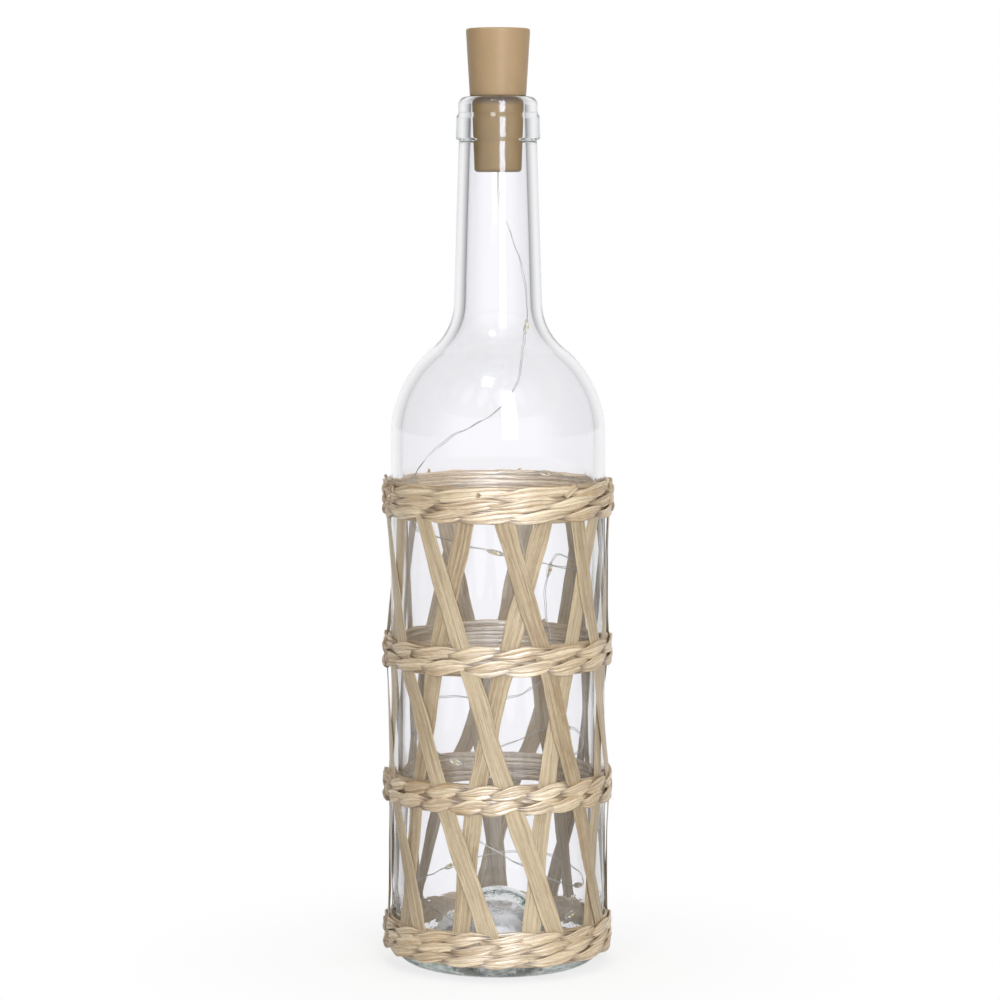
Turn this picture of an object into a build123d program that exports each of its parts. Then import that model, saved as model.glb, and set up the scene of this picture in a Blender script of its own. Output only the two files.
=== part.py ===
import math
import os

from build123d import *

os.makedirs("parts", exist_ok=True)

# Driving dimensions, in millimetres and degrees. The bottle stands on z = 0 and its axis is Z.

# Glass
bottle_height = 304.2
body_radius = 37.6
glass_wall = 3.9
base_thickness = 6.0
heel_radius = 9.0
inner_heel_radius = 5.0
punt_height = 20.5
punt_dome_radius = 10.0
punt_foot_radius = 1.5
base_rim_width = 11.0
shoulder_base = 186.5
shoulder_radius = 39.0
shoulder_fillet = 11.0
neck_base_radius = 15.7
neck_top_radius = 13.65
collar_radius = 14.7
collar_height = 9.7
lip_radius = 13.8
lip_height = 5.7
collar_fillet = 0.7
lip_fillet = 2.8
mouth_fillet = 0.4
mouth_radius = 9.3

# Woven sleeve
strip_width = 5.8
strip_thickness = 0.4
strip_gap = 0.05
strip_count = 9
left_strip_turn_angle = 80.8
left_strip_base_angle = -12.3
right_strip_turn_angle = 50.7
right_strip_base_angle = -112.6
braid_thickness = 1.3
braid_fillet = 0.6
strip_end_inset = 1.5
top_braid_base = 158.6
top_course_height = 6.3
second_braid_base = 106.0
third_braid_base = 58.4
middle_course_height = 5.2
bottom_braid_base = 5.3
bottom_course_height = 5.9

# Stopper plug
plug_depth = 26.2
plug_top_radius = 9.1
plug_bottom_radius = 8.2
plug_fillet = 1.3
plug_floor = 1.6
wire_room = 8.0
board_ledge = 1.0
spigot_height = 5.5
spigot_radius = 8.0

# Cells and contacts
cell_radius = 5.8
cell_height = 5.4
cell_count = 3
cell_pole_radius = 4.4
cell_pole_height = 0.3
cell_bevel = 0.5
cell_clearance = 0.2
spring_contact_height = 4.0
spring_contact_foot = 4.6
spring_contact_top = 1.8
spring_contact_rim = 0.6
contact_thickness = 0.3
contact_width = 2.4
contact_gap = 0.1
groove_clearance = 0.2

# Driver board
board_thickness = 0.8
board_clearance = 0.1
resistor_length = 3.2
resistor_width = 1.6
resistor_height = 0.6
resistor_offset = 3.0
resistor_chamfer = 0.15
solder_radius = 0.4
solder_tip_radius = 0.2
solder_height = 0.7
solder_gap = 0.1

# Stopper cap
cap_height = 23.4
cap_straight_height = 1.6
cap_top_radius = 11.1
cap_bottom_radius = 9.8
cap_fillet = 0.7
cap_lower_fillet = 0.5
cap_clearance = 0.15
cap_seam = 0.1
roof_thickness = 1.4
carrier_clearance = 0.1
carrier_lift = 1.0

# Switch
switch_travel = 2.0
recess_length = 11.0
recess_width = 5.6
recess_depth = 2.2
recess_fillet = 1.0
knob_length = 4.6
knob_drop = 0.2
knob_clearance = 0.1
knob_side_clearance = 0.2
knob_ridge = 0.4
knob_ridge_count = 3
stem_length = 3.4
stem_width = 1.8
stem_clearance = 0.2
wiper_length = 6.0
wiper_width = 4.0
wiper_gap = 0.2
off_gap = 0.7

# Light string
wire_diameter = 0.9
wire_arc_share = 0.45
wire_hole_clearance = 0.05
bead_hole_clearance = 0.1
seal_radius = 1.3
seal_flange_radius = 2.2
seal_flange_height = 0.8
bead_length = 4.2
bead_diameter = 2.3
chip_length = 1.0
chip_width = 0.6
chip_height = 0.3
chip_wall = 0.08

# Heights and radii that follow from the dimensions above
lip_base = bottle_height - lip_height
collar_base = lip_base - collar_height
shoulder_centre = body_radius - shoulder_radius
neck_base = shoulder_base + math.sqrt(shoulder_radius**2 - (neck_base_radius - shoulder_centre) ** 2)
inner_body_radius = body_radius - glass_wall
inner_shoulder_radius = shoulder_radius - glass_wall
inner_neck_radius = neck_base_radius - glass_wall
inner_neck_base = shoulder_base + math.sqrt(
    inner_shoulder_radius**2 - (inner_neck_radius - shoulder_centre) ** 2
)
punt_centre = punt_height - punt_dome_radius
inner_dome_radius = punt_dome_radius + base_thickness
punt_foot = body_radius - base_rim_width
foot_to_centre = math.hypot(punt_foot, punt_centre)
slope = math.atan2(punt_centre, punt_foot) + math.asin(punt_dome_radius / foot_to_centre)
punt_slope = math.degrees(slope)

plug_bottom = bottle_height - plug_depth
spigot_top = bottle_height + spigot_height
board_base = plug_bottom + plug_floor + wire_room
board_top = board_base + board_thickness
cells_base = board_top + spring_contact_height
cells_top = cells_base + cell_count * cell_height
cell_bore_radius = cell_radius + cell_clearance
wire_room_radius = cell_bore_radius - board_ledge
strip_groove_depth = groove_clearance + contact_thickness + groove_clearance
feed_strip_x = cell_bore_radius + groove_clearance + contact_thickness / 2

cap_base = bottle_height + cap_seam
cap_top = bottle_height + cap_height
recess_floor = cap_top - recess_depth
roof_base = recess_floor - roof_thickness
socket_radius = spigot_radius + cap_clearance
slider_rest = -switch_travel / 2
knob_base = recess_floor + knob_clearance
wiper_top = roof_base - wiper_gap
carrier_top = wiper_top - contact_thickness - contact_gap - contact_thickness
carrier_base = spigot_top + carrier_lift
pad_height = carrier_top + contact_thickness / 2
finger_height = carrier_base - contact_thickness / 2


# Radius of a flat strip's outer corners, where its back lies at the given radius
def strip_front(back):
    return math.hypot(back + strip_thickness, strip_width / 2)


right_strip_back = body_radius + strip_gap
left_strip_back = strip_front(right_strip_back) + strip_gap
braid_inner_radius = strip_front(left_strip_back) + strip_gap


# Corner of the current sketch that lies nearest to a point
def corner(x, y):
    return vertices().sort_by_distance(Vector(x, y, 0))[0]


# Height of the straight side of the punt at a radius, with the dome's radius given
def punt_side(radius, dome):
    return punt_centre + dome / math.cos(slope) - radius * math.tan(slope)


# Point where the punt's dome, with its radius given, passes into the straight side
def dome_end(dome):
    return (dome * math.sin(slope), punt_centre + dome * math.cos(slope))


inner_corner = punt_side(inner_body_radius, inner_dome_radius)

# Glass bottle: the outside from the punt to the lip, and the inside back down
with BuildPart() as glass_bottle:
    with BuildSketch(Plane.XZ):
        with BuildLine():
            CenterArc((0, punt_centre), punt_dome_radius, 90 - punt_slope, punt_slope)
            Polyline(
                dome_end(punt_dome_radius),
                (punt_foot, 0),
                (body_radius, 0),
                (body_radius, shoulder_base),
            )
            neck_angle = math.degrees(
                math.atan2(neck_base - shoulder_base, neck_base_radius - shoulder_centre)
            )
            CenterArc((shoulder_centre, shoulder_base), shoulder_radius, 0, neck_angle)
            Polyline(
                (neck_base_radius, neck_base),
                (neck_top_radius, collar_base),
                (collar_radius, collar_base),
                (collar_radius, lip_base),
                (lip_radius, lip_base),
                (lip_radius, bottle_height),
                (mouth_radius, bottle_height),
                (inner_neck_radius, inner_neck_base),
            )
            inner_angle = math.degrees(
                math.atan2(inner_neck_base - shoulder_base, inner_neck_radius - shoulder_centre)
            )
            CenterArc((shoulder_centre, shoulder_base), inner_shoulder_radius, 0, inner_angle)
            Polyline(
                (inner_body_radius, shoulder_base),
                (inner_body_radius, inner_corner),
                dome_end(inner_dome_radius),
            )
            CenterArc((0, punt_centre), inner_dome_radius, 90 - punt_slope, punt_slope)
            Line((0, punt_centre + inner_dome_radius), (0, punt_height))
        make_face()
        fillet(corner(punt_foot, 0), punt_foot_radius)
        fillet(corner(body_radius, 0), heel_radius)
        fillet(corner(neck_base_radius, neck_base), shoulder_fillet)
        fillet(corner(collar_radius, collar_base), collar_fillet)
        fillet(corner(collar_radius, lip_base), collar_fillet)
        fillet(corner(lip_radius, bottle_height), lip_fillet)
        fillet(corner(mouth_radius, bottle_height), mouth_fillet)
        fillet(corner(inner_neck_radius, inner_neck_base), shoulder_fillet + glass_wall)
        fillet(corner(inner_body_radius, inner_corner), inner_heel_radius)
    revolve(axis=Axis.Z)
glass_bottle.part.label = "glass_bottle"
export_step(glass_bottle.part, "parts/glass_bottle.step")

# Braids: two woven rows each, as closed rings around the strips
braid_rows = {
    "top_braid": (top_braid_base, top_course_height),
    "second_braid": (second_braid_base, middle_course_height),
    "third_braid": (third_braid_base, middle_course_height),
    "bottom_braid": (bottom_braid_base, bottom_course_height),
}
for braid_name, (braid_base, course_height) in braid_rows.items():
    for row, row_name in enumerate(("lower", "upper")):
        row_middle = braid_base + (row + 0.5) * course_height
        with BuildPart() as braid:
            with BuildSketch(Plane.XZ):
                with Locations((braid_inner_radius + braid_thickness / 2, row_middle)):
                    Rectangle(braid_thickness, course_height)
                fillet(vertices().group_by(Axis.X)[-1], braid_fillet)
            revolve(axis=Axis.Z)
        braid.part.label = f"{braid_name}_{row_name}"
        export_step(braid.part, f"parts/{braid_name}_{row_name}.step")

# Leaf strips: two crossing layers of flat strips that wind up the bottle
strip_base = bottom_braid_base + strip_end_inset
strip_height = top_braid_base + 2 * top_course_height - strip_end_inset - strip_base
strip_layers = {
    "left_strip": (left_strip_back, left_strip_turn_angle, left_strip_base_angle, True),
    "right_strip": (right_strip_back, right_strip_turn_angle, right_strip_base_angle, False),
}
for layer_name, (back, turn, base_angle, left_handed) in strip_layers.items():
    with BuildPart() as strip:
        with BuildLine() as strip_line:
            Helix(
                pitch=strip_height * 360 / turn,
                height=strip_height,
                radius=back + strip_thickness / 2,
                center=(0, 0, strip_base),
                lefthand=left_handed,
            )
        with BuildSketch(Plane(origin=strip_line.line @ 0, x_dir=(1, 0, 0), z_dir=strip_line.line % 0)):
            Rectangle(strip_thickness, strip_width)
        sweep(path=strip_line.line, is_frenet=True)
    for number in range(strip_count):
        with BuildPart() as placed_strip:
            with Locations(Rotation(0, 0, base_angle + number * 360 / strip_count)):
                add(strip.part)
        placed_strip.part.label = f"{layer_name}_{number + 1}"
        export_step(placed_strip.part, f"parts/{layer_name}_{number + 1}.step")

# Stopper plug: tapered outside, cell bore, wire room, spigot and the groove of the feed strip
with BuildPart() as stopper_plug:
    with BuildSketch(Plane.XZ):
        with BuildLine():
            Polyline(
                (seal_radius, plug_bottom),
                (plug_bottom_radius, plug_bottom),
                (plug_top_radius, bottle_height),
                (spigot_radius, bottle_height),
                (spigot_radius, spigot_top),
                (cell_bore_radius, spigot_top),
                (cell_bore_radius, board_base),
                (wire_room_radius, board_base),
                (wire_room_radius, plug_bottom + plug_floor),
                (seal_radius, plug_bottom + plug_floor),
                close=True,
            )
        make_face()
        fillet(corner(plug_bottom_radius, plug_bottom), plug_fillet)
    revolve(axis=Axis.Z)
    with BuildSketch(Plane.XY.offset(board_base)):
        with Locations((cell_bore_radius, 0)):
            Rectangle(2 * strip_groove_depth, contact_width + 2 * groove_clearance)
    extrude(amount=spigot_top - board_base, mode=Mode.SUBTRACT)
stopper_plug.part.label = "stopper_plug"
export_step(stopper_plug.part, "parts/stopper_plug.step")

# Wire seal: a flanged bush in the plug's floor
wire_hole_radius = wire_diameter / 2 + wire_hole_clearance
with BuildPart() as wire_seal:
    with BuildSketch(Plane.XY.offset(plug_bottom)):
        Circle(seal_radius)
    extrude(amount=plug_floor)
    with BuildSketch(Plane.XY.offset(plug_bottom + plug_floor)):
        Circle(seal_flange_radius)
    extrude(amount=seal_flange_height)
    with Locations((0, 0, plug_bottom)):
        Hole(wire_hole_radius)
wire_seal.part.label = "wire_seal"
export_step(wire_seal.part, "parts/wire_seal.step")

# Driver board on its ledge, with the joints and the resistor below it
with BuildPart() as circuit_board:
    with BuildSketch(Plane.XY.offset(board_base)):
        Circle(cell_bore_radius - board_clearance)
    extrude(amount=board_thickness)
circuit_board.part.label = "circuit_board"
export_step(circuit_board.part, "parts/circuit_board.step")

with BuildPart() as solder_joints:
    solder_offset = wire_diameter / 2 + solder_gap + solder_radius
    with Locations((-solder_offset, 0, board_base), (solder_offset, 0, board_base)):
        Cone(
            solder_tip_radius,
            solder_radius,
            solder_height,
            align=(Align.CENTER, Align.CENTER, Align.MAX),
        )
solder_joints.part.label = "solder_joints"
export_step(solder_joints.part, "parts/solder_joints.step")

with BuildPart() as resistor:
    with BuildSketch(Plane.XY.offset(board_base)):
        with Locations((0, resistor_offset)):
            Rectangle(resistor_length, resistor_width)
    extrude(amount=-resistor_height)
    chamfer(edges().group_by(Axis.Z)[0].filter_by(Axis.X), resistor_chamfer)
resistor.part.label = "resistor"
export_step(resistor.part, "parts/resistor.step")

# Dished spring contact between the board and the lowest cell
with BuildPart() as spring_contact:
    with BuildSketch(Plane.XZ):
        half_contact = contact_thickness / 2
        with BuildLine() as dish_line:
            Polyline(
                (spring_contact_foot, board_top + half_contact),
                (spring_contact_foot - spring_contact_rim, board_top + half_contact),
                (spring_contact_top, cells_base - half_contact),
                (spring_contact_top - spring_contact_rim, cells_base - half_contact),
            )
        trace(dish_line.line, contact_thickness)
    revolve(axis=Axis.Z)
spring_contact.part.label = "spring_contact"
export_step(spring_contact.part, "parts/spring_contact.step")

# Button cells, stacked with the narrow pole down
for number in range(cell_count):
    cell_base = cells_base + number * cell_height
    with BuildPart() as cell:
        with BuildSketch(Plane.XZ):
            with BuildLine():
                Polyline(
                    (0, cell_base),
                    (cell_pole_radius, cell_base),
                    (cell_pole_radius, cell_base + cell_pole_height),
                    (cell_radius - cell_bevel, cell_base + cell_pole_height),
                    (cell_radius, cell_base + cell_pole_height + cell_bevel),
                    (cell_radius, cell_base + cell_height),
                    (0, cell_base + cell_height),
                    close=True,
                )
            make_face()
        revolve(axis=Axis.Z)
    cell.part.label = f"cell_{number + 1}"
    export_step(cell.part, f"parts/cell_{number + 1}.step")

# Feed strip: from a tab on the spigot down the groove to a foot on the board
with BuildPart() as feed_strip:
    with BuildSketch(Plane.XZ):
        with BuildLine() as feed_line:
            Polyline(
                (spring_contact_foot + contact_thickness, board_top + contact_thickness / 2),
                (feed_strip_x, board_top + contact_thickness / 2),
                (feed_strip_x, spigot_top + contact_thickness / 2),
                (spigot_radius - contact_thickness, spigot_top + contact_thickness / 2),
            )
        trace(feed_line.line, contact_thickness)
    extrude(amount=contact_width / 2, both=True)
feed_strip.part.label = "feed_strip"
export_step(feed_strip.part, "parts/feed_strip.step")

# Stopper cap: tapered shell with the socket below and the switch recess on top
slot_length = stem_length + switch_travel + 2 * stem_clearance
slot_width = stem_width + 2 * stem_clearance
with BuildPart() as stopper_cap:
    with BuildSketch(Plane.XZ):
        with BuildLine():
            Polyline(
                (socket_radius, cap_base),
                (cap_bottom_radius, cap_base),
                (cap_top_radius, cap_top - cap_straight_height),
                (cap_top_radius, cap_top),
                (0, cap_top),
                (0, roof_base),
                (socket_radius, roof_base),
                close=True,
            )
        make_face()
        fillet(corner(cap_bottom_radius, cap_base), cap_lower_fillet)
        fillet(corner(cap_top_radius, cap_top), cap_fillet)
    revolve(axis=Axis.Z)
    with BuildSketch(Plane.XY.offset(cap_top)):
        RectangleRounded(recess_length, recess_width, recess_fillet)
    extrude(amount=-recess_depth, mode=Mode.SUBTRACT)
    with BuildSketch(Plane.XY.offset(recess_floor)):
        Rectangle(slot_length, slot_width)
    extrude(amount=-roof_thickness, mode=Mode.SUBTRACT)
stopper_cap.part.label = "stopper_cap"
export_step(stopper_cap.part, "parts/stopper_cap.step")

# Fixed contacts of the switch: pads on the carrier, legs through it and fingers below it
wiper_rest_end = slider_rest + wiper_length / 2
battery_pad_end = slider_rest
battery_leg = battery_pad_end - contact_width
feed_pad_end = wiper_rest_end + off_gap
feed_leg = feed_pad_end + contact_width
battery_touch = cells_top + contact_gap + contact_thickness / 2
feed_touch = spigot_top + contact_thickness + contact_gap + contact_thickness / 2
contact_courses = {
    "battery_contact": [
        (battery_pad_end, pad_height),
        (battery_leg, pad_height),
        (battery_leg, finger_height),
        (battery_leg + contact_width, finger_height),
        (0, battery_touch),
        (contact_width / 2, battery_touch),
    ],
    "feed_contact": [
        (feed_pad_end, pad_height),
        (feed_leg, pad_height),
        (feed_leg, finger_height),
        (feed_strip_x, finger_height),
        (feed_strip_x + contact_width / 2, feed_touch),
    ],
}
for contact_name, course in contact_courses.items():
    with BuildPart() as fixed_contact:
        with BuildSketch(Plane.XZ):
            with BuildLine() as contact_line:
                Polyline(*course)
            trace(contact_line.line, contact_thickness)
        extrude(amount=contact_width / 2, both=True)
    fixed_contact.part.label = contact_name
    export_step(fixed_contact.part, f"parts/{contact_name}.step")

# Switch carrier: the insert in the cap that holds both contacts
leg_slot_length = contact_thickness + 2 * contact_gap
leg_slot_width = contact_width + 2 * contact_gap
with BuildPart() as switch_carrier:
    with BuildSketch(Plane.XY.offset(carrier_base)):
        Circle(socket_radius - carrier_clearance)
        with Locations((battery_leg, 0), (feed_leg, 0)):
            Rectangle(leg_slot_length, leg_slot_width, mode=Mode.SUBTRACT)
    extrude(amount=carrier_top - carrier_base)
switch_carrier.part.label = "switch_carrier"
export_step(switch_carrier.part, "parts/switch_carrier.step")

# Switch slider: ridged knob in the recess and its stem through the roof
knob_width = recess_width - 2 * knob_side_clearance
knob_height = recess_depth - knob_clearance - knob_drop
with BuildPart() as switch_slider:
    with BuildSketch(Plane.XY.offset(knob_base)):
        with Locations((slider_rest, 0)):
            Rectangle(knob_length, knob_width)
    extrude(amount=knob_height)
    ridge_step = knob_length / (knob_ridge_count + 1)
    with BuildSketch(Plane.XY.offset(knob_base + knob_height)):
        with Locations((slider_rest, 0)):
            with GridLocations(ridge_step, 1, knob_ridge_count, 1):
                Rectangle(knob_ridge, knob_width)
    extrude(amount=-knob_ridge, mode=Mode.SUBTRACT)
    with BuildSketch(Plane.XY.offset(wiper_top)):
        with Locations((slider_rest, 0)):
            Rectangle(stem_length, stem_width)
    extrude(amount=knob_base - wiper_top)
switch_slider.part.label = "switch_slider"
export_step(switch_slider.part, "parts/switch_slider.step")

# Switch wiper: the plate under the stem that bridges the two pads when the switch is on
with BuildPart() as switch_wiper:
    with BuildSketch(Plane.XY.offset(wiper_top)):
        with Locations((slider_rest, 0)):
            Rectangle(wiper_length, wiper_width)
    extrude(amount=-contact_thickness)
switch_wiper.part.label = "switch_wiper"
export_step(switch_wiper.part, "parts/switch_wiper.step")

# Light wire: from the board through the seal and the neck, then in loose turns along the glass
wire_route = [
    (0.0, 0.0, board_base),
    (0.0, 0.0, 276.5),
    (0.4, 0.2, 265.6),
    (4.9, 0.3, 256.5),
    (7.6, 0.0, 247.1),
    (10.3, 0.3, 237.7),
    (10.5, 0.5, 228.5),
    (9.2, 0.8, 219.0),
    (8.2, 1.4, 209.0),
    (4.6, 2.6, 199.5),
    (-2.5, 4.5, 192.5),
    (-11.5, 7.5, 188.0),
    (-20.5, 9.5, 183.0),
    (-27.5, 7.5, 176.0),
    (-30.8, -1.5, 170.5),
    (-28.6, -12.5, 167.0),
    (-20.6, -23.0, 165.0),
    (-8.0, -30.0, 163.5),
    (6.5, -30.5, 163.5),
    (20.4, -23.2, 164.6),
    (29.0, -10.8, 166.7),
    (30.4, 4.6, 169.0),
    (23.6, 19.2, 170.9),
    (11.2, 28.6, 171.7),
    (-3.2, 31.0, 169.9),
    (-16.6, 26.4, 165.9),
    (-26.8, 16.0, 161.7),
    (-31.0, 2.6, 157.9),
    (-28.8, -11.4, 155.1),
    (-20.4, -23.2, 152.7),
    (-7.6, -30.0, 149.9),
    (6.8, -30.4, 146.1),
    (19.4, -24.2, 142.7),
    (28.4, -13.2, 140.5),
    (31.0, 0.6, 140.1),
    (27.6, 13.4, 141.7),
    (20.6, 23.0, 142.9),
    (18.0, 25.2, 132.9),
    (17.2, 26.0, 122.9),
    (19.4, 24.4, 113.1),
    (20.4, 23.6, 103.1),
    (15.0, 27.2, 94.1),
    (3.8, 31.0, 88.3),
    (-9.5, 29.8, 89.5),
    (-22.0, 22.4, 91.5),
    (-30.4, 8.5, 88.5),
    (-30.8, -7.0, 84.0),
    (-21.4, -22.8, 77.9),
    (-6.6, -30.4, 72.5),
    (9.0, -29.6, 71.3),
    (21.8, -21.8, 73.9),
    (30.0, -8.6, 77.7),
    (30.0, 7.4, 81.1),
    (20.6, 23.0, 80.7),
    (7.4, 30.2, 73.9),
    (-8.0, 30.2, 67.9),
    (-22.0, 22.0, 66.0),
    (-30.2, 8.5, 67.0),
    (-31.0, -6.0, 65.5),
    (-25.0, -18.8, 60.0),
    (-14.0, -27.6, 52.5),
    (-1.0, -31.0, 45.0),
    (12.0, -28.4, 37.0),
    (23.5, -20.0, 30.5),
    (30.8, -6.5, 28.5),
    (29.0, 10.5, 31.0),
    (18.5, 24.8, 33.5),
    (3.5, 31.0, 33.5),
    (-11.5, 29.0, 30.5),
    (-23.5, 19.8, 27.5),
    (-30.6, 5.5, 27.0),
    (-29.0, -10.5, 28.0),
    (-20.5, -23.0, 21.5),
    (-8.0, -29.8, 16.5),
    (6.5, -29.6, 14.0),
    (19.5, -23.0, 16.5),
    (28.5, -10.5, 22.0),
]
route = [Vector(*point) for point in wire_route]
runs = [after - before for before, after in zip(route, route[1:])]
wire_radii = []
for run, next_run in zip(runs, runs[1:]):
    half_turn = math.radians(run.get_angle(next_run) / 2)
    wire_radii.append(wire_arc_share * min(run.length, next_run.length) / math.tan(half_turn))
with BuildPart() as light_wire:
    with BuildLine() as wire_line:
        wire_path = FilletPolyline(*route, radius=wire_radii)
    with BuildSketch(Plane(origin=route[0], z_dir=runs[0])):
        Circle(wire_diameter / 2)
    sweep(path=wire_line.line)
light_wire.part.label = "light_wire"
export_step(light_wire.part, "parts/light_wire.step")
wire_length = wire_path.length
wire_section = math.pi * wire_diameter**2 / 4
print("wire radii", [round(radius, 1) for radius in wire_radii])
volume_ratio = light_wire.part.volume / (wire_section * wire_length)
print("wire length", round(wire_length, 1), "volume ratio", round(volume_ratio, 4))

# Lamp beads: resin drops around the wire with a chip in each, as shares along the numbered runs of the wire
bead_shares = {
    6: 0.5,
    14: 0.5,
    22: 0.5,
    30: 0.5,
    36: 0.62,
    42: 0.5,
    47: 0.5,
    52: 0.5,
    57: 0.5,
    63: 0.5,
    68: 0.5,
    75: 0.5,
}
bead_planes = [
    Plane(origin=route[run] + runs[run] * share, z_dir=runs[run]) for run, share in bead_shares.items()
]
bead_hole_radius = wire_diameter / 2 + bead_hole_clearance
chip_offset = bead_hole_radius + chip_wall
with BuildPart() as one_bead:
    with BuildSketch(Plane.XZ):
        Ellipse(bead_diameter / 2, bead_length / 2)
        with Locations((-bead_diameter / 2, 0)):
            Rectangle(bead_diameter, bead_length, mode=Mode.SUBTRACT)
    revolve(axis=Axis.Z)
    Hole(bead_hole_radius)
    with Locations((chip_offset + chip_height / 2, 0, 0)):
        Box(chip_height, chip_width, chip_length, mode=Mode.SUBTRACT)
for number, bead_plane in enumerate(bead_planes):
    with BuildPart() as led_bead:
        with Locations(bead_plane):
            add(one_bead.part)
    led_bead.part.label = f"led_bead_{number + 1}"
    export_step(led_bead.part, f"parts/led_bead_{number + 1}.step")

with BuildPart() as one_chip:
    with Locations((chip_offset + chip_height / 2, 0, 0)):
        Box(chip_height, chip_width, chip_length)
with BuildPart() as led_chips:
    with Locations(*bead_planes):
        add(one_chip.part)
led_chips.part.label = "led_chips"
export_step(led_chips.part, "parts/led_chips.step")
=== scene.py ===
import bmesh
import bpy
import numpy as np
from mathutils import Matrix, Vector


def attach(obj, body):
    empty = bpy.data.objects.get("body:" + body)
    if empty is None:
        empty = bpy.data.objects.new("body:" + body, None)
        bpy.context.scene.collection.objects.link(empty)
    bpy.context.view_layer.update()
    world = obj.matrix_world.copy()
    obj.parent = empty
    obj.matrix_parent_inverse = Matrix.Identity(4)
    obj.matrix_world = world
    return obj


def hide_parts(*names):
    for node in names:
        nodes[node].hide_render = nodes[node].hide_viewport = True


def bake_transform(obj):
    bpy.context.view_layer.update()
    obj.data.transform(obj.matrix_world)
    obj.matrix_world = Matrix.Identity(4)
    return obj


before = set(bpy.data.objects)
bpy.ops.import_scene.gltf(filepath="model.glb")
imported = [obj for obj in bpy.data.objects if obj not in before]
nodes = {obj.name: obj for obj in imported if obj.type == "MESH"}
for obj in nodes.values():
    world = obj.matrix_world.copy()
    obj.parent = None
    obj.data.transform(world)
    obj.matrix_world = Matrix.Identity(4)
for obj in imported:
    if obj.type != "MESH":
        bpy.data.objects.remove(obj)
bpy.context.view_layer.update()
scene = bpy.context.scene
mm = 0.001
print("frame loaded:", len(nodes), "nodes")

cameraSettings = {
    "eye": (0.0007, -1.208, 0.2675),
    "aim": (0.0007, 0.0, 0.1635),
    "lens": 124.4,  # millimetres on the sensor below
    "sensor": 36.0,
}


# Camera or lamp at a place, turned so that its view line passes through the aim.
def addAimed(name, data, place, aim):
    item = bpy.data.objects.new(name, data)
    item.location = place
    item.rotation_euler = (Vector(aim) - Vector(place)).to_track_quat("-Z", "Y").to_euler()
    scene.collection.objects.link(item)
    return item


# Camera of the photograph's view: a lens on a sensor, aimed from the eye.
def makeCamera(s):
    data = bpy.data.cameras.new("photoCamera")
    data.lens, data.sensor_width = s["lens"], s["sensor"]
    scene.camera = addAimed("photoCamera", data, s["eye"], s["aim"])


makeCamera(cameraSettings)
print("camera placed")


# Points on rings: angle 0 faces the camera (-Y) and grows towards +X, so x = r sin, y = -r cos.
def ringPoints(radius, angle, height):
    return np.stack(np.broadcast_arrays(radius * np.sin(angle), -radius * np.cos(angle), height), -1)


# Unit vectors: each row of an array divided by its length.
def unit(vectors):
    return vectors / np.linalg.norm(vectors, axis=-1, keepdims=True)


# Angles of a full turn in equal steps, from 0.
def fullTurn(steps):
    return np.arange(steps) * 2 * np.pi / steps


# A wave made squarer: its size raised to a power under 1, with its sign kept.
def squarer(wave, power):
    return np.sign(wave) * np.abs(wave) ** power


# Distances along a line of points, from its start.
def lengthsAlong(line):
    return np.concatenate([[0], np.cumsum(np.linalg.norm(np.diff(line, axis=0), axis=1))])


# Two directions at each point of a line: square to the line and to an axis, and square to the line and to the first.
def lineFrame(line, axis):
    way = unit(np.gradient(line, axis=0))
    side = unit(np.cross(way, axis))
    return side, np.cross(side, way)


# Sections along a line: from each of its points, distances to the side and outwards for each point of the section.
def sweepSection(line, side, aside, out, outward):
    return line[:, None] + side[:, None] * aside[..., None] + out[:, None] * outward[..., None]


# Gentle closed waver: a sum of sine waves with whole counts per turn, random sizes and starts, within about +-1.
def waver(angle, counts, rng):
    sizes = rng.uniform(0.4, 1.0, len(counts))
    starts = rng.uniform(0, 2 * np.pi, len(counts))
    waves = sizes * np.sin(np.asarray(counts) * np.asarray(angle)[..., None] + starts)
    return waves.sum(-1) / sizes.sum()


# Quad grid: each cell joins four neighbours, the last column joins the first, and so do the rows if they are closed.
# along (per row, or the two ends of each row of cells) and across (per column) are lengths in metres for the UV map.
# The signed volume of the closed shape, a sum of corner products, tells whether the faces have to be turned.
def gridPart(points, along, across, closedRows=False, **values):
    rows, columns = points.shape[:2]
    r, c = np.meshgrid(np.arange(rows - (not closedRows)), np.arange(columns), indexing="ij")
    cornerRows = np.stack([r, r, r + 1, r + 1], -1).reshape(-1, 4)
    cornerColumns = np.stack([c, c + 1, c + 1, c], -1).reshape(-1, 4)
    faces = (cornerRows % rows) * columns + cornerColumns % columns
    ends = along if along.ndim == 2 else np.stack([along[:-1], along[1:]], -1)
    rowEnds = np.stack([ends[r, 0], ends[r, 0], ends[r, 1], ends[r, 1]], -1).reshape(-1, 4)
    uv = np.stack([rowEnds, across[cornerColumns]], -1)
    flat = points.reshape(-1, 3)
    a, b, d, e = (flat[faces[:, k]] - flat.mean(0) for k in range(4))
    volume = (np.cross(a, b) * d).sum() + (np.cross(a, d) * e).sum()
    if volume < 0:
        faces, uv = faces[:, ::-1], uv[:, ::-1]
    values = {key: np.broadcast_to(value, (rows, columns)).ravel() for key, value in values.items()}
    return {"points": flat, "faces": faces, "uv": uv, "values": values}


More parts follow.
